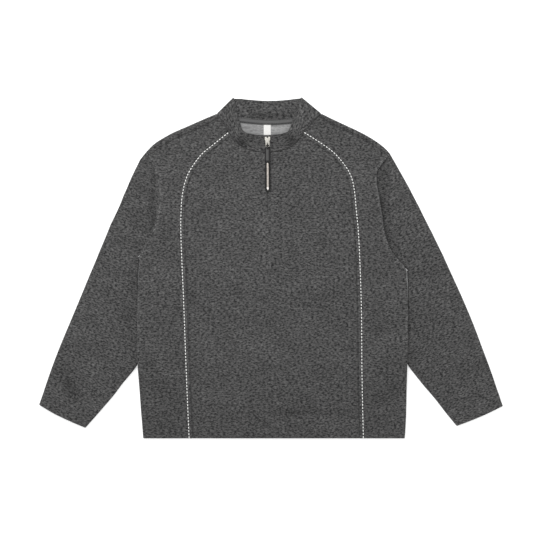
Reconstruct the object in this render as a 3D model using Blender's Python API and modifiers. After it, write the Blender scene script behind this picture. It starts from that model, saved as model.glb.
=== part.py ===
"""Quarter-zip sweater laid flat on its back.

A knitted pullover: a back whose shoulders wrap over to the front, a front in three
panels joined by curved princess seams, two tube sleeves, a stand collar folded double,
and a zip with its slider and pull. Every piece of cloth is an open sheet between its
seam lines, given its wall by Solidify.

+X is the right as seen from above, +Y runs towards the collar and the front faces +Z.
The origin is the middle of the garment's outline, on the surface it lies on.
All sizes below are in millimetres; MM turns them into metres.
"""

import math

import bmesh
import bpy
from mathutils import Vector

MM = 0.001
SAME = 0.001  # points closer than this are one

# Cloth
WALL = 2.0  # body and sleeves
COLLAR_WALL = 2.4  # folded double and pressed
TAPE_WALL = 0.6
LABEL_WALL = 0.4
SEAM_GAP = 0.3  # between pieces that a seam joins
LAYERS = 5.2  # two walls lying on each other, outer face to outer face
FOLD = LAYERS / 2  # outer radius of a fold
FOLD_STEPS = (45, 0, -45)  # degrees round a fold, between its two faces
ROLL_STEPS = (35, 70)  # degrees over which a side edge rolls down
PUFF = 0.8  # how much more the front lifts where the body slopes

# Heights of what lies behind the zip
LAID_ON = 0.3  # gap under a piece that lies on another
LABEL_Z = WALL + LAID_ON
ZIP_TAPE_Z = LABEL_Z + LABEL_WALL + LAID_ON
NECK_TAPE_Z = COLLAR_WALL + LAID_ON
ZIP_RISE = ZIP_TAPE_Z + TAPE_WALL + LAID_ON + WALL - LAYERS
COLLAR_ZIP_RISE = ZIP_RISE + COLLAR_WALL - WALL
RISE_FULL, RISE_END = 60.0, 125.0  # distance from the zip over which the front sinks back

# Zip
ZIP_X = -7.4
ZIP_END = 104.5
ZIP_TAPE_WIDTH = 22.0
ZIP_TAPE_ENDS = (97.0, 274.0)

# Slider: a plate on the collar's front edges with a bridge over it that holds the pull
SLIDER_Z = LAYERS + COLLAR_ZIP_RISE + LAID_ON
PLATE_WALL = 1.5
# Right half of the plate, top to bottom: x from the zip, y, how far its corner is cut
PLATE = (
    (1.0, 272.6, 0.3), (1.0, 274.8, 0.5), (5.9, 274.8, 1.4), (5.8, 268.6, 1.2),
    (4.3, 266.4, 1.2), (4.3, 259.0, 2.0), (4.8, 253.6, 0.8),
)
# Bridge seen from the side: y, height over the plate's underside, how far its corner is cut
BRIDGE = (
    (253.9, 0.7, 0.0), (253.9, 5.2, 1.2), (270.5, 5.2, 1.2), (270.5, 0.7, 0.0),
    (268.0, 0.7, 0.0), (268.0, 4.1, 0.5), (255.4, 4.1, 0.5), (255.4, 0.7, 0.0),
)
BRIDGE_WIDTH = 2.8

# Pull, drawn from its hinge: right halves, top to bottom: x, y, how far a corner is cut
HINGE = (ZIP_X, 257.2, SLIDER_Z + 2.8)
PULL_TILT = 0.97  # degrees; its lower end rests on the front
PULL_TURN = 0.4  # degrees; it hangs a little to the right
STRAP = ((3.6, 0.8, 0.5), (3.6, -4.5, 1.0), (4.9, -7.0, 1.0), (4.9, -32.6, 0.6))
STRAP_WINDOW = ((2.2, -0.8, 0.4), (2.2, -9.0, 1.2))
STRAP_WALL = 1.4
FRAME = (
    (5.9, -32.9, 1.1), (5.9, -36.3, 1.0), (5.1, -38.3, 1.0), (5.3, -91.0, 2.5),
    (5.1, -98.2, 4.4),
)
FRAME_SLOT = ((3.2, -37.1, 0.3), (3.2, -94.4, 2.8))
FRAME_WALL = 3.0
BAR = ((2.9, -37.4, 1.1), (2.9, -94.1, 2.6))
BAR_WALL = 2.6

# Grid cells along each seam line
BEND_Y = -94.0  # from here up to the underarm the rows are closer together
LOW_CELLS = 6
BEND_CELLS = 4
SIDE_CELLS = LOW_CELLS + BEND_CELLS
ARMHOLE_CELLS = 11
SHOULDER_CELLS = 6
PRINCESS_CELLS = ARMHOLE_CELLS + SHOULDER_CELLS  # above the underarm
SLIT_CELLS = 10
HALF_FRONT_CELLS = 7
SIDE_PANEL_CELLS = 5
BACK_NECK_CELLS = 8
ARM_CELLS = 14
ACROSS_CELLS = 6
COLLAR_CELLS = 4

# Hem, left to right: x, y
HEM = ((-268.6, -357.4), (-164.5, -357.9), (-7.4, -358.6), (186.5, -358.9), (281.0, -358.9))

# Princess seams, hem to collar: y, left x, right x
PRINCESS = (
    (-358.6, -164.5, 186.5),
    (-219.0, -170.5, 183.5),
    (-82.0, -175.5, 182.3),
    (60.0, -181.5, 177.0),
    (122.0, -181.3, 171.5),
    (154.0, -178.4, 168.6),
    (183.0, -171.7, 163.3),
    (206.0, -160.6, 152.5),
    (233.0, -140.4, 130.4),
    (252.0, -117.5, 106.0),
    (278.0, -84.8, 65.6),
)

# Side edges of the body, hem to underarm: y, left x, right x
SIDES = (
    (-358.6, -268.6, 281.2),
    (-333.0, -270.7, 283.0),
    (-288.0, -274.3, 284.7),
    (-242.0, -277.2, 285.2),
    (-202.0, -280.0, 286.2),
    (-150.0, -280.6, 287.4),
    (-94.0, -280.8, 287.7),
)

# One row for each side: the lines that differ from left to right.
SHAPES = {
    "left": {
        "armhole": (
            (-277.0, 23.0), (-269.0, 38.0), (-258.0, 57.0), (-246.5, 81.0), (-239.0, 108.0),
            (-235.0, 132.0), (-234.3, 156.0), (-237.0, 180.0), (-242.5, 203.0), (-257.0, 235.0),
        ),
        "shoulder_corner": (-263.0, 243.0),
        "shoulder": (
            (-246.0, 260.0), (-227.0, 272.5), (-204.0, 285.0), (-174.0, 298.0), (-147.0, 310.0),
        ),
        "shoulder_forward": 12.5,
        "neck_point": (-114.0, 324.0),
        "collar_seam": (
            (-7.4, 243.0), (-31.5, 245.0), (-57.0, 251.5), (-76.0, 266.0), (-84.8, 278.0),
            (-99.0, 302.0), (-109.5, 316.5),
        ),
        "collar_edge": (
            (-7.4, 278.8), (-26.0, 279.2), (-41.0, 281.3), (-52.0, 284.0), (-59.0, 288.5),
            (-62.5, 296.0), (-66.5, 309.0), (-72.0, 330.0),
        ),
        "collar_top": (-79.0, 357.6),
        "collar_turn": 5,
        "sleeve_outer": (
            (-487.6, -288.0), (-481.0, -269.0), (-464.0, -219.0), (-445.0, -168.5),
            (-424.0, -118.0), (-403.0, -68.0), (-382.0, -17.0), (-361.0, 33.0), (-340.0, 83.5),
            (-317.0, 134.0), (-296.0, 184.0), (-275.5, 227.0),
        ),
        "sleeve_inner": (
            (-390.0, -336.5), (-365.0, -308.0), (-333.0, -271.0), (-312.5, -244.0),
            (-294.0, -222.0), (-280.0, -202.0), (-268.0, -168.0), (-263.0, -130.0),
            (-266.0, -98.0), (-272.0, -76.0), (-277.6, -56.0), (-279.8, -38.0), (-279.2, -20.0),
            (-278.3, 2.0), (-277.0, 23.0),
        ),
        "sleeve_head": 52.0,
        "cuff": ((-487.6, -288.0), (-453.6, -308.0), (-415.0, -326.0), (-390.0, -336.5)),
        # The body lies over the sleeve. Across: x where it is flat and where it is fully
        # up. Down: y where it starts up, is fully up, starts down and is flat again.
        "lap": (-165.0, -248.0, 23.0, -45.0, -225.0, -268.0),
    },
    "right": {
        "armhole": (
            (285.0, -6.0), (278.5, 6.0), (265.0, 20.0), (252.0, 38.0), (243.5, 59.0), (238.0, 81.0),
            (234.6, 105.0), (231.0, 130.0), (227.0, 154.0), (223.0, 177.0), (224.0, 204.0),
            (245.5, 235.0),
        ),
        "shoulder_corner": (250.0, 240.0),
        "shoulder": (
            (241.0, 250.0), (227.6, 261.1), (208.6, 273.6), (185.6, 286.1), (158.1, 299.1),
            (132.6, 311.0),
        ),
        "shoulder_forward": 8.8,
        "neck_point": (106.0, 324.0),
        "collar_seam": (
            (-7.4, 243.0), (17.0, 245.0), (42.0, 254.0), (57.5, 267.0), (65.6, 278.0),
            (84.0, 302.0), (102.2, 319.4),
        ),
        "collar_edge": (
            (-7.4, 278.8), (10.0, 280.0), (25.0, 282.2), (35.0, 286.3), (39.5, 293.5),
            (43.0, 304.0), (49.0, 318.0), (56.5, 336.0),
        ),
        "collar_top": (63.6, 358.47),
        "collar_turn": 4,
        "sleeve_outer": (
            (487.6, -290.5), (479.8, -269.0), (463.0, -219.0), (444.2, -168.5), (425.2, -118.0),
            (404.2, -68.0), (381.2, -17.0), (358.2, 33.0), (333.2, 83.5), (307.8, 134.0),
            (281.6, 184.0), (260.3, 222.0),
        ),
        "sleeve_inner": (
            (390.4, -332.6), (369.3, -306.8), (344.3, -274.8), (324.4, -251.6), (303.8, -226.0),
            (286.5, -202.0), (276.0, -172.0), (272.0, -142.0), (275.0, -116.0), (282.0, -96.0),
            (286.6, -80.0), (287.7, -64.0), (287.1, -46.0), (286.3, -26.0), (285.0, -6.0),
        ),
        "sleeve_head": 26.0,
        "cuff": ((487.6, -290.5), (452.0, -308.0), (416.0, -323.0), (390.4, -332.6)),
        "lap": (172.0, 255.0, -6.0, -80.0, -225.0, -268.0),
    },
}

BACK_NECK = ((-93.0, 317.0), (-66.0, 312.5), (-7.4, 307.5), (45.0, 310.5), (78.0, 316.5))
BACK_EDGE = ((-65.0, 355.8), (-50.0, 354.1), (-7.4, 351.2), (30.0, 353.0), (50.0, 355.4))
NECK_TAPE_EDGES = (-5.0, 3.0)  # below and above the neck seam
NECK_TAPE_ENDS = (-78.0, 60.0)
LABEL_LEFT, LABEL_RIGHT = -15.3, -0.4
LABEL_TOP, LABEL_BOTTOM = 303.0, 266.0


# --- lines and sheets ---------------------------------------------------------------


def curve(points):
    """Fine points of a smooth line through the given ones."""
    steps = 12
    through = [Vector(p) for p in points]
    ends = [2 * through[0] - through[1], *through, 2 * through[-1] - through[-2]]
    fine = []
    for a, b, c, d in zip(ends, ends[1:], ends[2:], ends[3:]):
        for mark in range(steps):
            t = mark / steps
            bend = (2 * a - 5 * b + 4 * c - d) * t * t + (3 * b - a - 3 * c + d) * t**3
            fine.append((2 * b + (c - a) * t + bend) / 2)
    fine.append(through[-1])
    return fine


def spaced(line, cells):
    """The line cut into cells of equal length."""
    run = [0.0]
    for a, b in zip(line, line[1:]):
        run.append(run[-1] + (b - a).length)
    marks = []
    k = 0
    for mark in range(cells + 1):
        want = run[-1] * mark / cells
        while k < len(line) - 2 and run[k + 1] <= want:
            k += 1
        marks.append(line[k].lerp(line[k + 1], (want - run[k]) / (run[k + 1] - run[k])))
    return marks


def split(line, y):
    """The parts of a rising line below and above a height, sharing the point at it."""
    k = next(i for i, p in enumerate(line) if p.y > y - SAME)
    a, b = line[k - 1], line[k]
    if b.y < y + SAME:
        return line[: k + 1], line[k:]
    meeting = a.lerp(b, (y - a.y) / (b.y - a.y))
    return [*line[:k], meeting], [meeting, *line[k:]]


def joined(*lines):
    """Lines laid end to end, each starting where the last one ends."""
    whole = list(lines[0])
    for line in lines[1:]:
        whole.extend(line[1:])
    return whole


def normals(line, towards, first=None, last=None):
    """Unit normals of a line on the side of the point towards; the end ones may be given."""
    found = []
    for i, point in enumerate(line):
        along = line[min(i + 1, len(line) - 1)] - line[max(i - 1, 0)]
        across = Vector((-along.y, along.x)).normalized()
        if across.dot(towards - point) < 0:
            across.negate()
        found.append(across)
    found[0] = first or found[0]
    found[-1] = last or found[-1]
    return found


def moved(line, ways, distance):
    return [point + way * distance for point, way in zip(line, ways)]


def patch(bottom, top, left, right):
    """Rows of points, bottom to top, filling the space between four lines."""
    rows = []
    for j, (start, end) in enumerate(zip(left, right)):
        v = j / (len(left) - 1)
        row = []
        for i, (low, high) in enumerate(zip(bottom, top)):
            u = i / (len(bottom) - 1)
            corners = bottom[0].lerp(bottom[-1], u).lerp(top[0].lerp(top[-1], u), v)
            row.append(low.lerp(high, v) + start.lerp(end, u) - corners)
        rows.append(row)
    return rows


def fold_round(point, outward, low, high, steps):
    """Points round a fold from its face at height high to the one at low, or back."""
    middle, radius = (high + low) / 2, (high - low) / 2
    round_it = []
    for degrees in steps:
        angle = math.radians(degrees)
        out = point + outward * (radius * math.cos(angle))
        round_it.append(Vector((*out, middle + radius * math.sin(angle))))
    return round_it


def add_grid(mesh, rows, closed=False, flip=False):
    """Adds a sheet of quads between rows of points. Rows going up and points going
    right face +Z."""
    made = [[mesh.verts.new(point * MM) for point in row] for row in rows]
    for low, high in zip(made, made[1:]):
        for i in range(len(low) if closed else len(low) - 1):
            k = (i + 1) % len(low)
            corners = (low[i], low[k], high[k], high[i])
            mesh.faces.new(corners[::-1] if flip else corners)


def weld(mesh, verts=None):
    bmesh.ops.remove_doubles(mesh, verts=verts or mesh.verts, dist=SAME * MM)


def draw_in(mesh, distance):
    """Draws every open edge of a sheet in along the sheet, so that seams stay apart."""
    moves = {}
    for edge in mesh.edges:
        if not edge.is_boundary:
            continue
        face = edge.link_faces[0]
        along = edge.verts[1].co - edge.verts[0].co
        inward = face.normal.cross(along).normalized()
        if inward.dot(face.calc_center_median() - edge.verts[0].co) < 0:
            inward.negate()
        for vert in edge.verts:
            moves.setdefault(vert, []).append(inward)
    for vert, ways in moves.items():
        middle = sum(ways, Vector((0, 0, 0)))
        if len(ways) == 2 and middle.length > 0.5:
            way = middle.normalized()
            vert.co += way * (distance / max(way.dot(ways[0]), 0.5))


def material(name, colour, roughness, metallic=0.0):
    made = bpy.data.materials.new(name)
    made.use_nodes = True
    shader = made.node_tree.nodes["Principled BSDF"]
    shader.inputs["Base Color"].default_value = (*colour, 1.0)
    shader.inputs["Roughness"].default_value = roughness
    shader.inputs["Metallic"].default_value = metallic
    return made


def add_object(name, mesh, look, collection):
    """Makes the object of a mesh, in a collection."""
    data = bpy.data.meshes.new(name)
    mesh.normal_update()
    mesh.to_mesh(data)
    mesh.free()
    data.materials.append(look)
    made = bpy.data.objects.new(name, data)
    collection.objects.link(made)
    return made


def add_cloth(name, mesh, look, wall, gap=SEAM_GAP):
    """A sheet drawn in at its edges and given its wall on the side away from its face."""
    mesh.normal_update()
    draw_in(mesh, gap / 2 * MM)
    made = add_object(name, mesh, look, garment)
    made.data.shade_smooth()
    solid = made.modifiers.new("Wall", "SOLIDIFY")
    solid.thickness = wall * MM
    solid.offset = -1
    return made


# --- how the layers lie ---------------------------------------------------------------


def step(start, end, value):
    t = min(max((value - start) / (end - start), 0.0), 1.0)
    return t * t * (3 - 2 * t)


def lap(point):
    """Height of the body's underside, which lies over the sleeves along its sides."""
    height = 0.0
    for shape in SHAPES.values():
        flat_x, up_x, start_y, up_y, down_y, flat_y = shape["lap"]
        across = step(flat_x, up_x, point.x)
        down = min(step(start_y, up_y, point.y), step(flat_y, down_y, point.y))
        height += (LAYERS + LAID_ON) * across * down
    return height


def near_zip(point):
    return step(RISE_END, RISE_FULL, abs(point.x - ZIP_X))


def on_back(point):
    return Vector((*point, lap(point)))


def on_front(point, drop=0.0):
    under = lap(point)
    share = under / (LAYERS + LAID_ON)
    puff = PUFF * 4 * share * (1 - share)
    return Vector((*point, LAYERS + under + puff + ZIP_RISE * near_zip(point) - drop))


def on_collar_front(point):
    return Vector((*point, LAYERS + COLLAR_ZIP_RISE * near_zip(point)))


# --- seam lines ---------------------------------------------------------------


def side_cells(line):
    """Cuts a line from the hem to the underarm into the cells of the body's rows."""
    low, high = split(line, BEND_Y)
    return joined(spaced(low, LOW_CELLS), spaced(high, BEND_CELLS))


def seam_lines(side):
    """The lines of one side that two pieces share, cut into the cells both use."""
    shape = SHAPES[side]
    column = 1 if side == "left" else 2
    underarm = Vector(shape["armhole"][0])
    side_line = curve([(row[column], row[0]) for row in SIDES] + [tuple(underarm)])
    princess = curve([(row[column], row[0]) for row in PRINCESS])
    below, above = split(princess, underarm.y)
    armhole = spaced(curve(shape["armhole"]), ARMHOLE_CELLS)
    corner, neck = Vector(shape["shoulder_corner"]), Vector(shape["neck_point"])
    collar_seam = curve(shape["collar_seam"])
    at_princess, at_shoulder = split(collar_seam, princess[-1].y)
    ridge = spaced(curve([corner, *shape["shoulder"], neck]), SHOULDER_CELLS)
    inside = Vector((0.0, 0.0))
    out = normals(
        ridge,
        inside,
        first=(armhole[-1] - corner).normalized(),
        last=(at_shoulder[-1] - neck).normalized(),
    )
    forward = moved(ridge, out, shape["shoulder_forward"])
    return {
        "underarm": underarm,
        "side": side_cells(side_line),
        "princess": joined(side_cells(below), spaced(above, PRINCESS_CELLS)),
        "armhole": armhole,
        "ridge": ridge,
        "fold": moved(ridge, out, FOLD),
        "fold_out": [-way for way in out],
        "shoulder_seam": [armhole[-1], *forward[1:-1], at_shoulder[-1]],
        "collar_front": spaced(at_princess, HALF_FRONT_CELLS),
        "collar_side": spaced(at_shoulder, SIDE_PANEL_CELLS),
        "neck_point": neck,
    }


def back_neck_line():
    left, right = LINES["left"]["fold"][-1], LINES["right"]["fold"][-1]
    return spaced(curve([left, *BACK_NECK, right]), BACK_NECK_CELLS)


# --- body ---------------------------------------------------------------


def make_back():
    """The back lies face down; at each shoulder it turns over to the front."""
    left, right = LINES["left"], LINES["right"]
    left_edge = joined(left["side"], [*left["armhole"], left["fold"][0]])
    right_edge = joined(right["side"], [*right["armhole"], right["fold"][0]])
    top = joined(left["fold"], back_neck_line(), right["fold"][::-1])
    hem = spaced(curve(HEM), len(top) - 1)
    hem[0], hem[-1] = left_edge[0], right_edge[0]
    mesh = bmesh.new()
    rows = patch(hem, top, left_edge, right_edge)
    add_grid(mesh, [[on_back(p) for p in row] for row in rows], flip=True)
    for side, flip in ((left, False), (right, True)):
        turned = [
            [
                Vector((*point, 0.0)),
                *fold_round(point, out, 0.0, LAYERS, FOLD_STEPS[::-1]),
                Vector((*point, LAYERS)),
                on_front(seam),
            ]
            for point, out, seam in zip(side["fold"], side["fold_out"], side["shoulder_seam"])
        ]
        add_grid(mesh, turned, flip=flip)
    weld(mesh)
    return add_cloth("back_panel", mesh, KNIT, WALL)


def make_front_centre():
    """The centre front, slit down from the collar for the zip."""
    left, right = LINES["left"], LINES["right"]
    base = Vector((ZIP_X, HEM[2][1]))
    slit_end = Vector((ZIP_X, ZIP_END))
    level = Vector((ZIP_X, (left["underarm"].y + right["underarm"].y) / 2))
    centre = joined(
        side_cells([base, level]),
        spaced([level, slit_end], PRINCESS_CELLS - SLIT_CELLS),
        spaced([slit_end, left["collar_front"][0]], SLIT_CELLS),
    )
    mesh = bmesh.new()
    for side in (left, right):
        hem = spaced([side["princess"][0], base], HALF_FRONT_CELLS)
        top = side["collar_front"][::-1]
        rows = patch(hem, top, side["princess"], centre)
        add_grid(mesh, [[on_front(p) for p in row] for row in rows], flip=side is right)
    weld(mesh, [v for v in mesh.verts if v.co.y < (ZIP_END + 1) * MM])
    return add_cloth("front_centre_panel", mesh, KNIT, WALL)


def make_front_side(name, side, flip):
    """A side front: a band from the hem up to the collar, between the princess seam and
    the side, armhole and shoulder seams. Its side edge rolls down to meet the back."""
    inner = side["princess"]
    outer = joined(side["side"], side["armhole"], side["shoulder_seam"])
    neckline = side["collar_side"]
    inward = normals(
        outer,
        inner[-1],
        first=(inner[0] - outer[0]).normalized(),
        last=(neckline[-2] - neckline[-1]).normalized(),
    )
    angles = [math.radians(degrees) for degrees in ROLL_STEPS]
    reach = FOLD * math.sin(angles[-1])
    edge = moved(outer, inward, reach)
    hem = spaced([inner[0], edge[0]], SIDE_PANEL_CELLS)
    rows = []
    for j, row in enumerate(patch(hem, [*neckline[:-1], edge[-1]], inner, edge)):
        rolled = FOLD if j < SIDE_CELLS else 0.0
        line = [on_front(p) for p in row]
        for angle in angles:
            point = edge[j] - inward[j] * (FOLD * math.sin(angle))
            line.append(on_front(point, rolled * (1 - math.cos(angle))))
        rows.append(line)
    mesh = bmesh.new()
    add_grid(mesh, rows, flip=flip)
    return add_cloth(name, mesh, KNIT, WALL)


def make_sleeve(name, side, shape, flip):
    """A sleeve lying flat. Its rows run across the arm: up to the underarm they go all
    the way round, and in the sleeve head they start and end at the armhole seam."""
    corner, shoulder_end = side["ridge"][0], side["armhole"][-1]
    arm, head = split(curve(shape["sleeve_outer"]), shape["sleeve_head"])
    # Both folds end at the shoulder corner, where their walls lean towards each other.
    outer = [
        *joined(spaced(arm, ARM_CELLS), spaced(head, ARMHOLE_CELLS - 1)),
        corner.lerp(head[-1], 0.02),
    ]
    inner = spaced(curve(shape["sleeve_inner"]), ARM_CELLS)
    cuff = spaced(curve(shape["cuff"]), ACROSS_CELLS)
    middle = outer[ARM_CELLS].lerp(inner[-1], 0.5)
    outer_in = normals(
        outer,
        middle,
        first=(cuff[1] - cuff[0]).normalized(),
        last=(shoulder_end - corner).normalized(),
    )
    inner_in = normals(inner, middle, first=(cuff[-2] - cuff[-1]).normalized())
    outer_fold, inner_fold = moved(outer, outer_in, FOLD), moved(inner, inner_in, FOLD)
    cuff[0], cuff[-1] = outer_fold[0], inner_fold[0]
    level = spaced([outer_fold[ARM_CELLS], inner_fold[-1]], ACROSS_CELLS)
    rows = patch(cuff, level, outer_fold[: ARM_CELLS + 1], inner_fold)
    for start, end in zip(outer_fold[ARM_CELLS + 1 :], side["armhole"][1:]):
        rows.append(spaced([start, end], ACROSS_CELLS))
    round_arm = [
        [Vector((*p, 0.0)) for p in row[::-1]]
        + fold_round(row[0], -way, 0.0, LAYERS, FOLD_STEPS[::-1])
        + [Vector((*p, LAYERS)) for p in row]
        for row, way in zip(rows, outer_in)
    ]
    rings = [
        line + fold_round(row[-1], -way, 0.0, LAYERS, FOLD_STEPS)
        for line, row, way in zip(round_arm, rows, inner_in)
    ]
    mesh = bmesh.new()
    add_grid(mesh, rings, closed=True, flip=flip)
    add_grid(mesh, round_arm[ARM_CELLS:], flip=flip)
    weld(mesh)
    return add_cloth(name, mesh, KNIT, WALL)


# --- collar, tape and label ---------------------------------------------------------------


def collar_half(side, shape):
    """Rows of one front half of the collar, from the zip to the side fold, and the
    directions that the fold turns in."""
    base = [*joined(side["collar_front"], side["collar_side"]), side["fold"][-1]]
    top_corner = Vector(shape["collar_top"])
    turn_in = normals([side["neck_point"], top_corner], base[0])[0]
    fold_top = top_corner + turn_in * FOLD
    points = shape["collar_edge"]
    turn = shape["collar_turn"]
    front_edge = spaced(curve(points[: turn + 1]), HALF_FRONT_CELLS)
    side_edge = spaced(curve([*points[turn:], tuple(fold_top)]), SIDE_PANEL_CELLS + 1)
    edge = joined(front_edge, side_edge)
    zip_edge = spaced([base[0], edge[0]], COLLAR_CELLS)
    fold_line = spaced([base[-1], fold_top], COLLAR_CELLS)
    rows = patch(base, edge, zip_edge, fold_line)
    base_out = side["fold_out"][-1]
    outs = [
        base_out.lerp(-turn_in, j / COLLAR_CELLS).normalized() for j in range(COLLAR_CELLS + 1)
    ]
    return rows, outs


def make_collar():
    """The stand collar: a band from one side of the zip round the neck to the other."""
    left_rows, left_out = collar_half(LINES["left"], SHAPES["left"])
    right_rows, right_out = collar_half(LINES["right"], SHAPES["right"])
    seam = back_neck_line()[::-1]
    edge = spaced(
        curve([right_rows[-1][-1], *BACK_EDGE[::-1], left_rows[-1][-1]]), BACK_NECK_CELLS
    )
    back_rows = patch(seam, edge, [r[-1] for r in right_rows], [r[-1] for r in left_rows])
    band = []
    for j in range(COLLAR_CELLS + 1):
        right = [on_collar_front(p) for p in right_rows[j]]
        left = [on_collar_front(p) for p in left_rows[j]]
        band.append(
            right
            + fold_round(right_rows[j][-1], right_out[j], 0.0, right[-1].z, FOLD_STEPS)
            + [Vector((*p, 0.0)) for p in back_rows[j]]
            + fold_round(left_rows[j][-1], left_out[j], 0.0, left[-1].z, FOLD_STEPS[::-1])
            + left[::-1]
        )
    mesh = bmesh.new()
    add_grid(mesh, band)
    return add_cloth("collar", mesh, KNIT, COLLAR_WALL)


def make_neck_tape():
    seam = [p for p in curve(BACK_NECK) if NECK_TAPE_ENDS[0] < p.x < NECK_TAPE_ENDS[1]]
    seam = spaced(seam, 2 * BACK_NECK_CELLS)
    top = NECK_TAPE_Z + TAPE_WALL
    rows = [[Vector((p.x, p.y + edge, top)) for p in seam] for edge in NECK_TAPE_EDGES]
    mesh = bmesh.new()
    add_grid(mesh, rows)
    return add_cloth("neck_tape", mesh, TAPE, TAPE_WALL, gap=0.0)


def make_strip(name, left, right, bottom, top, height, wall, look, cells):
    """A flat strip of ribbon lying at a height."""
    rows = []
    for point in spaced([Vector((left, bottom)), Vector((left, top))], cells):
        face = height + wall
        rows.append([Vector((left, point.y, face)), Vector((right, point.y, face))])
    mesh = bmesh.new()
    add_grid(mesh, rows)
    return add_cloth(name, mesh, look, wall, gap=0.0)


# --- slider and pull ---------------------------------------------------------------


def both_sides(half):
    """A closed outline from its right half, top to bottom."""
    return [*half, *[(-x, y, cut) for x, y, cut in half[::-1]]]


def cut_round(corners):
    """The outline with a small curve in place of each corner."""
    outline = []
    for i, (x, y, cut) in enumerate(corners):
        corner = Vector((x, y))
        before = Vector(corners[i - 1][:2]) - corner
        after = Vector(corners[(i + 1) % len(corners)][:2]) - corner
        start = corner + before.normalized() * cut
        end = corner + after.normalized() * cut
        steps = 4 if cut else 0
        for mark in range(steps + 1):
            t = mark / max(steps, 1)
            outline.append(start.lerp(corner, t).lerp(corner.lerp(end, t), t))
    return outline


def plate(outlines, thickness, edge):
    """A flat plate round z = 0, cut to its outside outline and any hole that follows it,
    with its edges rounded off."""
    drawn = bpy.data.curves.new("outline", "CURVE")
    drawn.dimensions = "2D"
    drawn.fill_mode = "BOTH"
    drawn.extrude = (thickness / 2 - edge) * MM
    drawn.bevel_depth = edge * MM
    drawn.bevel_resolution = 1
    drawn.offset = -edge * MM
    for corners in outlines:
        outline = cut_round(corners)
        loop = drawn.splines.new("POLY")
        loop.points.add(len(outline) - 1)
        for point, place in zip(loop.points, outline):
            point.co = (*(place * MM), 0.0, 1.0)
        loop.use_cyclic_u = True
    holder = bpy.data.objects.new("outline", drawn)
    mesh = bmesh.new()
    mesh.from_mesh(holder.to_mesh())
    weld(mesh)
    bpy.data.objects.remove(holder)
    bpy.data.curves.remove(drawn)
    return mesh


def make_slider():
    """The slider: a plate and, over it, the bridge under which the pull hangs."""
    mesh = plate([both_sides(PLATE)], PLATE_WALL, 0.4)
    middle = Vector((ZIP_X, 0.0, SLIDER_Z + PLATE_WALL / 2))
    bmesh.ops.translate(mesh, vec=middle * MM, verts=mesh.verts)
    slider = add_object("zip_slider", mesh, METAL, garment)
    bridge = add_object("bridge", plate([BRIDGE], BRIDGE_WIDTH, 0.3), METAL, tools)
    bridge.location = Vector((ZIP_X, 0.0, SLIDER_Z)) * MM
    bridge.rotation_euler = (math.radians(90), 0.0, math.radians(90))
    bridge.hide_render = True
    bridge.display_type = "WIRE"
    union = slider.modifiers.new("Bridge", "BOOLEAN")
    union.operation = "UNION"
    union.solver = "EXACT"
    union.object = bridge


def make_pull():
    """The pull, all of it turning on the hinge: a strap, and a frame round a metal bar."""
    hinge = bpy.data.objects.new("pull_hinge", None)
    hinge.location = Vector(HINGE) * MM
    hinge.rotation_euler = (math.radians(PULL_TILT), 0.0, math.radians(PULL_TURN))
    hinge.empty_display_size = 0.01
    garment.objects.link(hinge)
    strap = [both_sides(STRAP), both_sides(STRAP_WINDOW)]
    frame = [both_sides(FRAME), both_sides(FRAME_SLOT)]
    for piece in (
        add_object("pull_strap", plate(strap, STRAP_WALL, 0.3), GLOSS, garment),
        add_object("pull_frame", plate(frame, FRAME_WALL, 0.6), GLOSS, garment),
        add_object("pull_bar", plate([both_sides(BAR)], BAR_WALL, 0.6), METAL, garment),
    ):
        piece.parent = hinge


garment = bpy.data.collections.new("quarter_zip_sweater")
tools = bpy.data.collections.new("tools")


def clear_scene():
    for old in list(bpy.data.objects):
        bpy.data.objects.remove(old, do_unlink=True)
    bpy.context.scene.collection.children.link(garment)
    bpy.context.scene.collection.children.link(tools)


clear_scene()
KNIT = material("marl_knit", (0.08, 0.08, 0.08), 0.95)
TAPE = material("neck_tape", (0.11, 0.11, 0.11), 0.8)
LABEL = material("label", (0.85, 0.84, 0.8), 0.7)
METAL = material("warm_silver", (0.62, 0.55, 0.5), 0.3, 1.0)
GLOSS = material("black_enamel", (0.01, 0.01, 0.01), 0.15)
LINES = {side: seam_lines(side) for side in SHAPES}

make_back()
make_front_centre()
make_front_side("front_side_left", LINES["left"], True)
make_front_side("front_side_right", LINES["right"], False)
make_sleeve("sleeve_left", LINES["left"], SHAPES["left"], False)
make_sleeve("sleeve_right", LINES["right"], SHAPES["right"], True)
make_collar()
make_neck_tape()
make_strip(
    "label", LABEL_LEFT, LABEL_RIGHT, LABEL_BOTTOM, LABEL_TOP, LABEL_Z, LABEL_WALL, LABEL, 6
)
make_strip(
    "zip_tape",
    ZIP_X - ZIP_TAPE_WIDTH / 2,
    ZIP_X + ZIP_TAPE_WIDTH / 2,
    *ZIP_TAPE_ENDS,
    ZIP_TAPE_Z,
    TAPE_WALL,
    TAPE,
    12,
)
make_slider()
make_pull()
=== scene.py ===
"""Quarter-zip sweater laid flat on its back: its cloth, sewing, zip and hardware.

+X is the right as seen from above, +Y runs towards the collar and the front faces +Z.
Lines and sizes are in millimetres; MM turns them into metres.
"""

import math

import bmesh
import bpy
from mathutils import Euler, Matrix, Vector, noise


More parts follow.
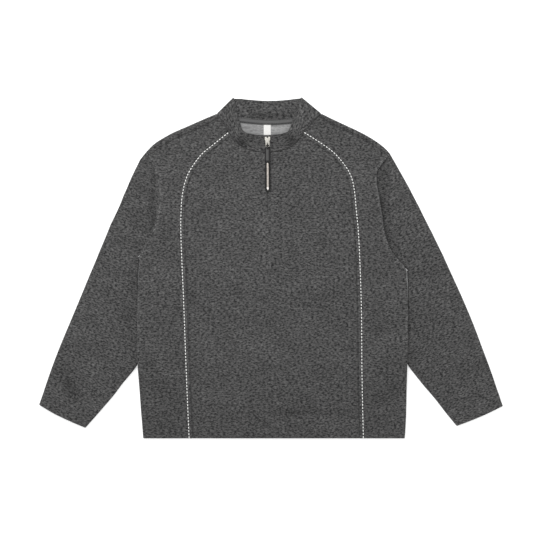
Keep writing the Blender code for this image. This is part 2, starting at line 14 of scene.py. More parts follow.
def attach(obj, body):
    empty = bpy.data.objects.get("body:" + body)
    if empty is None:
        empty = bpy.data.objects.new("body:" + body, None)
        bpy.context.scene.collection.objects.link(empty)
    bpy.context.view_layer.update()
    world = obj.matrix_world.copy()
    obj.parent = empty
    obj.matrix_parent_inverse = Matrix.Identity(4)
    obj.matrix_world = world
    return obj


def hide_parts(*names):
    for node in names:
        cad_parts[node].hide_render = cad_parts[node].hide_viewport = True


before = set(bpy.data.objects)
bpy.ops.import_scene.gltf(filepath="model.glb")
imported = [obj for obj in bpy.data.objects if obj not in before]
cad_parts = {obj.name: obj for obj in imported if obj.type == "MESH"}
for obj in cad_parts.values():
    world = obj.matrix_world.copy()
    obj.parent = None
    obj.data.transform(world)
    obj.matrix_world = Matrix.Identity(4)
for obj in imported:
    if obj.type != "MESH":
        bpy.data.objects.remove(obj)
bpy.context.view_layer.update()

# --- Table, light and camera -------------------------------------------------------------
# The sweater lies on a wide white light table, which glows faintly, under a white tent with
# one large soft lamp at its upper left. The camera hangs straight above it.

MM = 0.001
WHITE = (1.0, 1.0, 1.0, 1.0)
# Metres: the table's half width and height, the picture's width and the height it has it at
TABLE_HALF, TABLE_Z = 9.0, -0.0001
PICTURE_WIDTH, PICTURE_Z = 1.134, 0.006
FOCAL_LENGTH, FILM_WIDTH = 85.0, 36.0


def set_out(name, data):
    """Puts a mesh, a lamp or a camera in the scene, at the origin."""
    made = bpy.data.objects.new(name, data)
    bpy.context.scene.collection.objects.link(made)
    return made


def give(node, inputs):
    """Gives a node's inputs their values, each a plain one or another node's output."""
    for name, value in inputs.items():
        if isinstance(value, bpy.types.NodeSocket):
            node.id_data.links.new(value, node.inputs[name])
        else:
            node.inputs[name].default_value = value


def new_finish(name, inputs):
    """A material, the tree of its nodes, and its shader with the given inputs."""
    made = bpy.data.materials.new(name)
    made.use_nodes = True
    shader = made.node_tree.nodes["Principled BSDF"]
    give(shader, inputs)
    return made, made.node_tree, shader


def soft_lamp(name, place, size, power):
    """A square lamp that faces the middle of the table."""
    lamp = bpy.data.lights.new(name, "AREA")
    lamp.size, lamp.energy = size, power
    made = set_out(name, lamp)
    made.location = place
    made.rotation_mode = "QUATERNION"
    made.rotation_quaternion = Vector(place).to_track_quat("Z", "Y")


table_mesh = bpy.data.meshes.new("table")
square = ((-1, -1), (1, -1), (1, 1), (-1, 1))
corners = [(x * TABLE_HALF, y * TABLE_HALF, TABLE_Z) for x, y in square]
table_mesh.from_pydata(corners, [], [(0, 1, 2, 3)])
table = set_out("table", table_mesh)
table_paint, _, _ = new_finish("table_paint", {
    "Base Color": (0.86, 0.86, 0.86, 1.0), "Roughness": 0.9, "Specular IOR Level": 0.0,
    "Emission Color": WHITE, "Emission Strength": 0.3,
})
table_mesh.materials.append(table_paint)

soft_lamp("window", (-1.1, 2.1, 1.6), 1.2, 54)
soft_lamp("ceiling", (0.3, 0.4, 3.4), 2.6, 26)
tent = bpy.data.worlds.new("tent")
tent.use_nodes = True
give(tent.node_tree.nodes["Background"], {"Color": WHITE, "Strength": 0.82})
bpy.context.scene.world = tent
bpy.context.scene.view_settings.view_transform = "Standard"

lens = bpy.data.cameras.new("camera")
lens.lens = FOCAL_LENGTH
camera = set_out("camera", lens)
camera.location = (-0.0021, -0.0047, PICTURE_Z + PICTURE_WIDTH * FOCAL_LENGTH / FILM_WIDTH)
bpy.context.scene.camera = camera

# --- Back --------------------------------------------------------------------------------
# One piece of soft marl sweater knit, lying face down. Its shoulders turn over to the
# front, where they are sewn down, and its sides lie on the sleeves.

SAME = 0.001  # points closer than this are one
WALL = 2.0
SEAM_GAP = 0.3
LAYERS = 5.2  # two walls lying on each other, outer face to outer face
LAID_ON = 0.3
FOLD = LAYERS / 2
FOLD_STEPS = (60, 30, 0, -30, -60)
SIDE_CELLS = 60
ARMHOLE_CELLS = 36
SHOULDER_CELLS = 22
BACK_NECK_CELLS = 32
# Painted light and shade: how much lighter the colour is painted for each millimetre up
PAINTED_LIGHT_ON_CREASES = 0.1
PAINTED_LIGHT_ON_RIDGES = 0.25
PAINTED_SHADE_IN_SEAMS = 0.5

# Profiles of an edge: distance from it, rise
PLAIN = ((0.0, 0.0),)
SEAM = ((0.0, -0.9), (1.5, -0.3), (3.6, 0.0))
HEM_EDGE = ((0.0, -0.5), (0.7, -0.15), (2.0, 0.0))

HEM = ((-268.6, -357.4), (-164.5, -357.9), (-7.4, -358.6), (186.5, -358.9), (281.0, -358.9))
# Side edges, hem to underarm: y, left x, right x
SIDES = (
    (-358.6, -268.6, 281.2),
    (-333.0, -270.7, 283.0),
    (-288.0, -274.3, 284.7),
    (-242.0, -277.2, 285.2),
    (-202.0, -280.0, 286.2),
    (-150.0, -280.6, 287.4),
    (-94.0, -280.8, 287.7),
)
ARMHOLE = {
    "left": (
        (-277.0, 23.0), (-269.0, 38.0), (-258.0, 57.0), (-246.5, 81.0), (-239.0, 108.0),
        (-235.0, 132.0), (-234.3, 156.0), (-237.0, 180.0), (-242.5, 203.0), (-257.0, 235.0),
    ),
    "right": (
        (285.0, -6.0), (278.5, 6.0), (265.0, 20.0), (252.0, 38.0), (243.5, 59.0), (238.0, 81.0),
        (234.6, 105.0), (231.0, 130.0), (227.0, 154.0), (223.0, 177.0), (224.0, 204.0),
        (245.5, 235.0),
    ),
}
# Shoulder folds, from the corner over the sleeve to the neck
SHOULDER = {
    "left": (
        (-263.0, 243.0), (-246.0, 260.0), (-227.0, 272.5), (-204.0, 285.0), (-174.0, 298.0),
        (-147.0, 310.0), (-114.0, 324.0),
    ),
    "right": (
        (250.0, 240.0), (241.0, 250.0), (227.6, 261.1), (208.6, 273.6), (185.6, 286.1),
        (158.1, 299.1), (132.6, 311.0), (106.0, 324.0),
    ),
}
SHOULDER_FORWARD = {"left": 12.5, "right": 8.8}
# How far from a shoulder's ends its fold and its seam begin to turn to meet the next seam
FOLD_TURNS, SEAM_TURNS = 15.0, 30.0
SHOULDER_SEAM_END = {"left": (-109.5, 316.5), "right": (102.2, 319.4)}
BACK_NECK = ((-93.0, 317.0), (-66.0, 312.5), (-7.4, 307.5), (45.0, 310.5), (78.0, 316.5))
# Where the body lies over a sleeve. Across: x where it is flat and where it is fully up.
# Down: y where it starts up, is fully up, starts down and is flat again.
LAPS = (
    (-165.0, -248.0, 23.0, -45.0, -225.0, -268.0),
    (172.0, 255.0, -6.0, -80.0, -225.0, -268.0),
)
# Hollows pressed up into the back where it lies: from, to, half width, height
BACK_CREASES = (
    (-190.0, 120.0, -60.0, 60.0, 16.0, 0.7),
    (150.0, 150.0, 60.0, 40.0, 14.0, 0.6),
    (-120.0, -60.0, 20.0, -110.0, 20.0, 0.7),
    (40.0, -180.0, 170.0, -150.0, 17.0, 0.6),
    (-210.0, -250.0, -80.0, -215.0, 14.0, 0.5),
)


def curve(points):
    """Fine points of a smooth line through the given ones."""
    steps = 16
    through = [Vector(p) for p in points]
    ends = [2 * through[0] - through[1], *through, 2 * through[-1] - through[-2]]
    fine = []
    for a, b, c, d in zip(ends, ends[1:], ends[2:], ends[3:]):
        for mark in range(steps):
            t = mark / steps
            bend = (2 * a - 5 * b + 4 * c - d) * t * t + (3 * b - a - 3 * c + d) * t**3
            fine.append((2 * b + (c - a) * t + bend) / 2)
    fine.append(through[-1])
    return fine


def lengths(line):
    """Length of a line from its start to each of its points."""
    run = [0.0]
    for a, b in zip(line, line[1:]):
        run.append(run[-1] + (b - a).length)
    return run


def spaced(line, cells, near=PLAIN, far=PLAIN):
    """Points on a line: those of its two ends' profiles, and even cells between."""
    run = lengths(line)
    wanted = [distance for distance, rise in near]
    last = [run[-1] - distance for distance, rise in far[::-1]]
    pitch = (last[0] - wanted[-1]) / cells
    wanted += [wanted[-1] + pitch * mark for mark in range(1, cells)]
    marks = []
    k = 0
    for want in wanted + last:
        while k < len(line) - 2 and run[k + 1] <= want:
            k += 1
        marks.append(line[k].lerp(line[k + 1], (want - run[k]) / (run[k + 1] - run[k])))
    return marks


def split(line, y):
    """The parts of a rising line below and above a height, sharing the point at it."""
    k = next(i for i, p in enumerate(line) if p.y > y - SAME)
    a, b = line[k - 1], line[k]
    if b.y < y + SAME:
        return line[: k + 1], line[k:]
    meeting = a.lerp(b, (y - a.y) / (b.y - a.y))
    return [*line[:k], meeting], [meeting, *line[k:]]


def joined(*lines):
    """Lines laid end to end, each starting where the last one ends."""
    whole = list(lines[0])
    for line in lines[1:]:
        whole.extend(line[1:])
    return whole


def normals(line, facing, first=None, last=None):
    """Unit normals of a line, each on the side of the point that its own point faces. The
    end ones may be given."""
    found = []
    for i, (point, towards) in enumerate(zip(line, facing)):
        along = line[min(i + 1, len(line) - 1)] - line[max(i - 1, 0)]
        across = Vector((-along.y, along.x)).normalized()
        if across.dot(towards - point) < 0:
            across.negate()
        found.append(across)
    found[0] = first or found[0]
    found[-1] = last or found[-1]
    return found


def moved(line, ways, distance):
    return [point + way * distance for point, way in zip(line, ways)]


def patch(bottom, top, left, right, near=PLAIN, far=PLAIN):
    """Rows of points, bottom to top, filling the space between four lines. The rows
    between the first and the last have their points where the side profiles need them."""
    shares = [run / lengths(bottom)[-1] for run in lengths(bottom)]
    heights = [run / lengths(left)[-1] for run in lengths(left)]
    rows = []
    for v, start, end in zip(heights, left, right):
        row = []
        for u, low, high in zip(shares, bottom, top):
            corners = bottom[0].lerp(bottom[-1], u).lerp(top[0].lerp(top[-1], u), v)
            row.append(low.lerp(high, v) + start.lerp(end, u) - corners)
        rows.append(row)
    if near is not PLAIN or far is not PLAIN:
        cells = len(bottom) + 1 - len(near) - len(far)
        rows[1:-1] = [spaced(row, cells, near, far) for row in rows[1:-1]]
    return rows


def fold_round(point, outward, low, high, steps):
    """Points round a fold from its face at height high to the one at low, or back."""
    middle, radius = (high + low) / 2, (high - low) / 2
    round_it = []
    for degrees in steps:
        angle = math.radians(degrees)
        out = point + outward * (radius * math.cos(angle))
        round_it.append(Vector((*out, middle + radius * math.sin(angle))))
    return round_it


def ease(start, end, value):
    t = min(max((value - start) / (end - start), 0.0), 1.0)
    return t * t * (3 - 2 * t)


def rise(profile, distance):
    """How much an edge's profile lifts the cloth at a distance from it."""
    for (d0, h0), (d1, h1) in zip(profile, profile[1:]):
        if distance < d1:
            return h0 + (h1 - h0) * ease(d0, d1, distance)
    return profile[-1][1]


def edge_rises(rows, left=PLAIN, right=PLAIN, bottom=PLAIN, top=PLAIN):
    """The lift of every point of a sheet by the profile of the nearest edge."""
    lifts = []
    for row in rows:
        lifts.append([])
        for i, p in enumerate(row):
            sides = (
                rise(left, (p - row[0]).length),
                rise(right, (p - row[-1]).length),
                rise(bottom, (p - rows[0][i]).length),
                rise(top, (p - rows[-1][i]).length),
            )
            lifts[-1].append(max(sides, key=abs))
    return lifts


def lap(point):
    """Height of the body's underside, which lies over the sleeves along its sides."""
    height = 0.0
    for flat_x, up_x, start_y, up_y, down_y, flat_y in LAPS:
        down = min(ease(start_y, up_y, point.y), ease(flat_y, down_y, point.y))
        height += (LAYERS + LAID_ON) * ease(flat_x, up_x, point.x) * down
    return height


def creased(point, creases):
    """Height that soft ridges and troughs along straight lines give a point."""
    height = 0.0
    for x1, y1, x2, y2, half_width, top in creases:
        start, along = Vector((x1, y1)), Vector((x2 - x1, y2 - y1))
        t = min(max((point - start).dot(along) / along.length_squared, 0.0), 1.0)
        away = (point - start - along * t).length / half_width
        if away < 2.5:
            height += top * math.exp(-away * away)
    return height


def woven(rows, across=Vector((1.0, 0.0)), closed=False):
    """Where each point lies on the uncut cloth, along its courses and up its wales."""
    up = Vector((-across.y, across.x))
    laid = []
    for row in rows:
        ring = [*row, row[0]] if closed else row
        on_face = len(row) * 3 // 4
        way = 1 if (row[on_face + 1] - row[on_face - 1]).xy.dot(across) > 0 else -1
        run = [0.0]
        for a, b in zip(ring, ring[1:]):
            run.append(run[-1] + way * math.hypot((b - a).xy.dot(across), b.z - a.z))
        start = row[on_face].xy.dot(across) - run[on_face]
        laid.append([(start + along, p.xy.dot(up)) for along, p in zip(run, ring)])
    return laid


def add_grid(mesh, rows, laid, closed=False, flip=False):
    """Adds a sheet of quads between rows of points, and where they lie on the uncut
    cloth. Rows going up and points going right face +Z."""
    on_cloth = mesh.loops.layers.uv.get("weave") or mesh.loops.layers.uv.new("weave")
    made = [[mesh.verts.new(point * MM) for point in row] for row in rows]
    for j in range(len(rows) - 1):
        for i in range(len(rows[j]) if closed else len(rows[j]) - 1):
            k = (i + 1) % len(rows[j])
            corners = [(made[j][i], laid[j][i]), (made[j][k], laid[j][i + 1])]
            corners += [(made[j + 1][k], laid[j + 1][i + 1]), (made[j + 1][i], laid[j + 1][i])]
            if flip:
                corners.reverse()
            face = mesh.faces.new([vert for vert, place in corners])
            for loop, (vert, place) in zip(face.loops, corners):
                loop[on_cloth].uv = place


def draw_in(mesh, distance):
    """Draws every open edge of a sheet in along the sheet, so that seams stay apart."""
    moves = {}
    for edge in mesh.edges:
        if not edge.is_boundary:
            continue
        face = edge.link_faces[0]
        along = edge.verts[1].co - edge.verts[0].co
        inward = face.normal.cross(along).normalized()
        if inward.dot(face.calc_center_median() - edge.verts[0].co) < 0:
            inward.negate()
        for vert in edge.verts:
            moves.setdefault(vert, []).append(inward)
    for vert, ways in moves.items():
        middle = sum(ways, Vector((0, 0, 0)))
        if len(ways) == 2 and middle.length > 0.5:
            way = middle.normalized()
            vert.co += way * (distance / max(way.dot(ways[0]), 0.5))


def add_object(name, mesh, looks):
    data = bpy.data.meshes.new(name)
    mesh.normal_update()
    mesh.to_mesh(data)
    mesh.free()
    for look in looks:
        data.materials.append(look)
    data.shade_smooth()
    return set_out(name, data)


def carry_round_edges(mesh):
    """Carries the cloth's pattern on round its cut edges, down the wall."""
    on_cloth = mesh.uv_layers["weave"].data
    for face in mesh.polygons:
        places = [on_cloth[k].uv.copy() for k in face.loop_indices]
        spread = sum(
            (places[k - 1].x * p.y - p.x * places[k - 1].y) / 2 for k, p in enumerate(places)
        )
        if abs(spread) < 0.5 * face.area / MM**2:
            for k in face.loop_indices:
                on_cloth[k].uv.y += mesh.vertices[mesh.loops[k].vertex_index].co.z / MM


def make_up(name, mesh, looks, wall, gap=SEAM_GAP, soft_edge=0.5):
    """A sheet drawn in at its edges and given its wall, with the edges rounded. Its
    second look, if any, is on the inside."""
    bmesh.ops.remove_doubles(mesh, verts=mesh.verts, dist=SAME * MM)
    mesh.normal_update()
    draw_in(mesh, gap / 2 * MM)
    made = add_object(name, mesh, looks)
    solid = made.modifiers.new("Wall", "SOLIDIFY")
    solid.thickness = wall * MM
    solid.offset = -1
    solid.material_offset = len(looks) - 1
    rounded = made.modifiers.new("Soft edge", "BEVEL")
    rounded.width = soft_edge * MM
    rounded.segments = 2
    rounded.limit_method = "ANGLE"
    rounded.angle_limit = math.radians(55)
    flat_sheet = made.data
    view_layer = bpy.context.evaluated_depsgraph_get()
    made.data = bpy.data.meshes.new_from_object(made.evaluated_get(view_layer))
    made.modifiers.clear()
    bpy.data.meshes.remove(flat_sheet)
    carry_round_edges(made.data)
    return made


def paint_light_and_shade(made, creases, patches, lying):
    """Paints light and shade into the upper face's colour, kept in its attribute nap: painted
    light on ridges, painted shade where it is pressed down and in the seams. lying gives the
    point of the smooth cloth over a place. A patch is x, y, half width, half height, how much
    lighter its middle is painted."""
    # Painted light and shade, kept in the attribute nap
    nap = made.data.attributes.new("nap", "FLOAT", "POINT")
    for vert, brushed in zip(made.data.vertices, nap.data):
        x, y, z = vert.co / MM
        if z > WALL + LAID_ON:
            place = Vector((x, y))
            lighter = PAINTED_LIGHT_ON_CREASES * creased(place, creases)
            lift = z - lying(place).z
            if -1.0 < lift < WALL:
                lighter += lift * (PAINTED_SHADE_IN_SEAMS if lift < 0 else PAINTED_LIGHT_ON_RIDGES)
            for middle_x, middle_y, half_width, half_height, top in patches:
                away = ((x - middle_x) / half_width) ** 2 + ((y - middle_y) / half_height) ** 2
                lighter += top * math.exp(-away) if away < 6 else 0.0
            brushed.value = lighter


def add_node(tree, kind, inputs, **settings):
    """Adds a node with its settings and its inputs."""
    node = tree.nodes.new(kind)
    for name, value in settings.items():
        setattr(node, name, value)
    give(node, inputs)
    return node


def calculated(tree, operation, *values):
    """The result of a sum; each value is a number or another node's output."""
    inputs = dict(enumerate(values))
    return add_node(tree, "ShaderNodeMath", inputs, operation=operation).outputs[0]


def fleck(tree, place, along, up, detail=2.0):
    """Uneven tone, 0 to 1, in flecks of a length along the courses and up the wales."""
    size = {"Vector": place, "Scale": (1 / along, 1 / up, 1.0)}
    scaled = add_node(tree, "ShaderNodeMapping", size).outputs[0]
    grain = {"Vector": scaled, "Scale": 1.0, "Detail": detail, "Roughness": 0.6}
    return add_node(tree, "ShaderNodeTexNoise", grain, noise_dimensions="2D").outputs["Fac"]


def two_tone(tree, tone, dark_up_to, dark, light_from, light):
    """Goes from a dark colour to a light one as a tone rises."""
    ramp = add_node(tree, "ShaderNodeValToRGB", {0: tone})
    ends = ((dark_up_to, dark), (light_from, light))
    for end, (position, colour) in zip(ramp.color_ramp.elements, ends):
        end.position = position
        end.color = (*colour, 1.0)
    return ramp.outputs["Color"]


def shaded(tree, colour, shade):
    """A colour made lighter or darker."""
    inputs = {0: colour, "Scale": shade}
    return add_node(tree, "ShaderNodeVectorMath", inputs, operation="SCALE").outputs[0]


def emboss(tree, shader, height, strength, depth):
    """Lets a finish catch the light as if its surface had a relief."""
    relief = {"Strength": strength, "Distance": depth * MM, "Height": height}
    give(shader, {"Normal": add_node(tree, "ShaderNodeBump", relief).outputs[0]})


def marl_knit(name, dark, light, wale, course, depth):
    """Plain knit of marled yarn: dark and light fibres twisted together, each loop a
    small V, with a fine nap over it. Its colour is lightened and darkened by the painted light
    and shade in the attribute nap."""
    made, tree, shader = new_finish(name, {
        "Roughness": 0.92, "Specular IOR Level": 0.18, "Sheen Weight": 0.12,
        "Sheen Roughness": 0.5,
    })
    place = add_node(tree, "ShaderNodeUVMap", {}, uv_map="weave").outputs["UV"]
    apart = add_node(tree, "ShaderNodeSeparateXYZ", {0: place})
    along, up = apart.outputs["X"], apart.outputs["Y"]
    across = calculated(tree, "FRACT", calculated(tree, "DIVIDE", along, wale))
    lean = calculated(tree, "ABSOLUTE", calculated(tree, "SUBTRACT", across, 0.5))
    rows = calculated(tree, "MULTIPLY_ADD", lean, 1.3, calculated(tree, "DIVIDE", up, course))
    leg = calculated(tree, "FRACT", rows)
    this_row = calculated(tree, "MULTIPLY", calculated(tree, "FLOOR", rows), course)
    along_yarn = add_node(tree, "ShaderNodeCombineXYZ", {"X": along, "Y": this_row})
    round_leg = calculated(tree, "SINE", calculated(tree, "MULTIPLY", leg, math.pi))
    half = calculated(tree, "SINE", calculated(tree, "MULTIPLY", across, 2 * math.pi))
    row = calculated(tree, "POWER", calculated(tree, "ABSOLUTE", half), 0.6)
    loops = calculated(tree, "MULTIPLY", round_leg, row)
    yarn = fleck(tree, along_yarn.outputs[0], 6.0, 2.1)
    fibre = fleck(tree, place, 5.6, 3.0)
    hair = fleck(tree, place, 1.5, 0.5)
    slub = fleck(tree, place, 30.0, 5.2)
    patchy = fleck(tree, place, 80.0, 46.0, detail=1.0)
    nap = fleck(tree, place, 0.7, 0.5)
    # Painted light and shade from the attribute nap lightens or darkens the colour
    brushed = add_node(tree, "ShaderNodeAttribute", {}, attribute_name="nap").outputs["Fac"]
    tone = calculated(tree, "MULTIPLY_ADD", yarn, 0.45, calculated(tree, "MULTIPLY", fibre, 0.4))
    tone = calculated(tree, "MULTIPLY_ADD", hair, 0.15, tone)
    tone = calculated(tree, "MULTIPLY_ADD", loops, 0.04, tone)
    shade = calculated(tree, "ADD", calculated(tree, "MULTIPLY_ADD", patchy, 0.28, 0.86), brushed)
    slubbed = calculated(tree, "MULTIPLY_ADD", slub, 0.9, 0.55)
    shade = calculated(tree, "MULTIPLY", shade, slubbed)
    give(shader, {"Base Color": shaded(tree, two_tone(tree, tone, 0.42, dark, 0.62, light), shade)})
    emboss(tree, shader, calculated(tree, "MULTIPLY_ADD", nap, 0.5, loops), 0.8, depth)
    return made


KNIT = marl_knit("marl_knit", (0.013, 0.013, 0.0135), (0.108, 0.107, 0.106), 2.1, 1.6, 0.5)
KNIT_INSIDE = marl_knit("marl_knit_inside", (0.19, 0.19, 0.19), (0.27, 0.27, 0.27), 1.7, 1.3, 0.4)


def side_edge(side, cells):
    column = 1 if side == "left" else 2
    line = curve([(row[column], row[0]) for row in SIDES] + [ARMHOLE[side][0]])
    return spaced(line, cells, near=HEM_EDGE)


def shoulder_lines(side):
    """The shoulder's fold line, the way its fold turns out, and its seam line in front."""
    armhole_end, seam_end = Vector(ARMHOLE[side][-1]), Vector(SHOULDER_SEAM_END[side])
    ridge = spaced(curve(SHOULDER[side]), SHOULDER_CELLS + 2, far=SEAM)
    inside = [Vector((0.0, 0.0))] * len(ridge)
    start, end = (armhole_end - ridge[0]).normalized(), (seam_end - ridge[-1]).normalized()
    ways = normals(ridge, inside, first=start, last=end)
    ways = [
        start.lerp(way, ease(0, FOLD_TURNS, (p - ridge[0]).length)).normalized()
        .lerp(end, ease(FOLD_TURNS, 0, (p - ridge[-1]).length)).normalized()
        for p, way in zip(ridge, ways)
    ]
    forward = moved(ridge, ways, SHOULDER_FORWARD[side])
    to_start, to_end = armhole_end - forward[0], seam_end - forward[-1]
    seam = [
        p + to_start * ease(SEAM_TURNS, 0, (p - forward[0]).length)
        + to_end * ease(SEAM_TURNS, 0, (p - forward[-1]).length)
        for p in forward
    ]
    return moved(ridge, ways, FOLD), [-way for way in ways], seam


def on_back(point, lift=0.0):
    return Vector((*point, lap(point) + creased(point, BACK_CREASES) - lift))


ARMHOLE_LINE = {side: spaced(curve(ARMHOLE[side]), ARMHOLE_CELLS) for side in ARMHOLE}
SHOULDER_FOLD, SHOULDER_OUT, SHOULDER_SEAM = {}, {}, {}
for side in SHOULDER:
    SHOULDER_FOLD[side], SHOULDER_OUT[side], SHOULDER_SEAM[side] = shoulder_lines(side)
BACK_NECK_LINE = spaced(
    curve([SHOULDER_FOLD["left"][-1], *BACK_NECK, SHOULDER_FOLD["right"][-1]]), BACK_NECK_CELLS
)


def make_back():
    left_edge, right_edge = (
        joined(side_edge(side, SIDE_CELLS), [*ARMHOLE_LINE[side], SHOULDER_FOLD[side][0]])
        for side in ("left", "right")
    )
    top = joined(SHOULDER_FOLD["left"], BACK_NECK_LINE, SHOULDER_FOLD["right"][::-1])
    hem = spaced(curve(HEM), len(top) - 5, near=SEAM, far=SEAM)
    hem[0], hem[-1] = left_edge[0], right_edge[0]
    rows = patch(hem, top, left_edge, right_edge, near=SEAM, far=SEAM)
    lifts = edge_rises(rows, left=SEAM, right=SEAM, bottom=HEM_EDGE)
    sheet = [[on_back(p, lift) for p, lift in zip(*pair)] for pair in zip(rows, lifts)]
    neck_start, neck_end = len(SHOULDER_FOLD["left"]), len(top) - len(SHOULDER_FOLD["right"]) + 1
    for k, p in enumerate(sheet[-1]):
        to_neck = min((top[k] - fold[-1]).length for fold in SHOULDER_FOLD.values())
        p.z = -SEAM[0][1] if neck_start <= k + 1 <= neck_end else -rise(SEAM, to_neck)
    mesh = bmesh.new()
    add_grid(mesh, sheet, woven(sheet), flip=True)
    for side, flip in (("left", False), ("right", True)):
        turned = []
        folds = SHOULDER_FOLD[side]
        for fold, out, seam in zip(folds, SHOULDER_OUT[side], SHOULDER_SEAM[side]):
            sink = rise(SEAM, (fold - folds[-1]).length)
            face = spaced([fold, seam], 2, far=SEAM[:2])
            lie = [
                Vector((*p, LAYERS + min(rise(SEAM, (p - seam).length), sink))) for p in face
            ]
            round_it = fold_round(fold, out, -sink, lie[0].z, FOLD_STEPS[::-1])
            turned.append([Vector((*fold, -sink)), *round_it, *lie])
        laid = [[(p.x, p.y - p.z) for p in row] for row in turned]
        add_grid(mesh, turned, laid, flip=flip)
    return make_up("back_cloth", mesh, (KNIT, KNIT_INSIDE), WALL)


back_cloth = make_back()
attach(back_cloth, "garment")
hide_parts("back_panel")

# --- Centre front --------------------------------------------------------------------------
# The widest front panel, of the same knit, slit down from the collar for the zip. Its
# curved edges are sewn to the side fronts, and it lies on the back.

HALF_FRONT_CELLS = 30
SLIT_CELLS = 34
PUFF = 0.8
ZIP_X = -7.4
ZIP_END = 104.5
ZIP_RISE = 0.7
RISE_FULL, RISE_END = 60.0, 125.0
SLIT = ((0.0, -0.12), (0.8, 0.0), (2.2, 0.1), (6.0, 0.0))
SLIT_STARTS = ZIP_END + 1
SLIT_SHUT, SLIT_FORMED = ZIP_END - 3, ZIP_END + 8
# Princess seams, hem to collar: y, left x, right x
PRINCESS = (
    (-358.6, -164.5, 186.5),
    (-219.0, -170.5, 183.5),
    (-82.0, -175.5, 182.3),
    (60.0, -181.5, 177.0),
    (122.0, -181.3, 171.5),
    (154.0, -178.4, 168.6),
    (183.0, -171.7, 163.3),
    (206.0, -160.6, 152.5),
    (233.0, -140.4, 130.4),
    (252.0, -117.5, 106.0),
    (278.0, -84.8, 65.6),
)
COLLAR_SEAM = {
    "left": (
        (-7.4, 243.0), (-31.5, 245.0), (-57.0, 251.5), (-76.0, 266.0), (-84.8, 278.0),
        (-99.0, 302.0), (-109.5, 316.5),
    ),
    "right": (
        (-7.4, 243.0), (17.0, 245.0), (42.0, 254.0), (57.5, 267.0), (65.6, 278.0),
        (84.0, 302.0), (102.2, 319.4),
    ),
}
# Soft ridges and troughs of the front: from, to, half width, height
FRONT_CREASES = (
    (-56.0, 245.0, -40.5, 225.0, 4.5, -0.8),
    (-40.5, 225.0, -36.0, 210.0, 5.5, -0.7),
    (-47.0, 247.0, -30.0, 222.0, 5.0, 0.9),
    (19.0, -303.0, 193.0, -304.0, 9.0, -0.8),
    (10.0, -325.0, 180.0, -327.0, 13.0, 0.9),
    (262.0, -262.0, 236.0, -285.0, 12.0, -0.8),
    (262.0, -292.0, 205.0, -306.0, 12.0, 0.8),
    (-168.0, -48.0, -163.0, -62.0, 6.0, -0.9),
    (-262.0, 14.0, -205.0, -28.0, 9.0, 1.3),
    (-266.0, -12.0, -222.0, -70.0, 8.0, 0.9),
    (270.0, -18.0, 222.0, -52.0, 9.0, 1.2),
    (272.0, -48.0, 236.0, -104.0, 8.0, 0.9),
    (-212.0, 212.0, -120.0, 150.0, 15.0, 1.0),
    (190.0, 205.0, 96.0, 140.0, 14.0, 1.0),
    (-92.0, 96.0, 64.0, 60.0, 20.0, 0.9),
    (-130.0, 10.0, -12.0, -28.0, 17.0, 0.8),
    (34.0, -50.0, 150.0, -12.0, 16.0, 0.8),
    (-150.0, -150.0, 30.0, -188.0, 22.0, 1.0),
    (60.0, -140.0, 160.0, -196.0, 15.0, 0.8),
    (-140.0, -270.0, -20.0, -296.0, 15.0, 0.8),
    (-255.0, -180.0, -205.0, -236.0, 11.0, 0.9),
    (-258.0, -286.0, -196.0, -322.0, 12.0, 0.8),
    (240.0, -150.0, 206.0, -232.0, 12.0, 0.8),
)


def near_zip(point):
    return ease(RISE_END, RISE_FULL, abs(point.x - ZIP_X))


def on_front(point, lift=0.0):
    under = lap(point)
    share = under / (LAYERS + LAID_ON)
    puff = PUFF * 4 * share * (1 - share)
    wave = 0.45 * noise.noise(Vector((point.x / 46, point.y / 38, 0.0)))
    soft = max(creased(point, FRONT_CREASES) + wave, -0.9)
    height = LAYERS + under + puff + ZIP_RISE * near_zip(point) + soft
    return Vector((*point, height + lift))


def princess_line(side):
    column = 1 if side == "left" else 2
    line = curve([(row[column], row[0]) for row in PRINCESS])
    below, above = split(line, ARMHOLE[side][0][1])
    upper = ARMHOLE_CELLS + SHOULDER_CELLS + 2
    return joined(spaced(below, SIDE_CELLS, near=HEM_EDGE), spaced(above, upper, far=SEAM))


TOPSTITCHED = ((0.0, -0.6), (1.5, 0.0), (3.4, 0.6), (5.6, 0.5), (7.5, -0.35), (9.8, 0.0))
SIDE_PANEL_CELLS = 16
PRINCESS_LINE = {side: princess_line(side) for side in COLLAR_SEAM}
COLLAR_FRONT, COLLAR_SIDE = {}, {}
for side, points in COLLAR_SEAM.items():
    at_centre, at_side = split(curve(points), PRINCESS[-1][0])
    COLLAR_FRONT[side] = spaced(at_centre, HALF_FRONT_CELLS, near=SLIT, far=SEAM)
    COLLAR_SIDE[side] = spaced(at_side, SIDE_PANEL_CELLS, near=TOPSTITCHED)


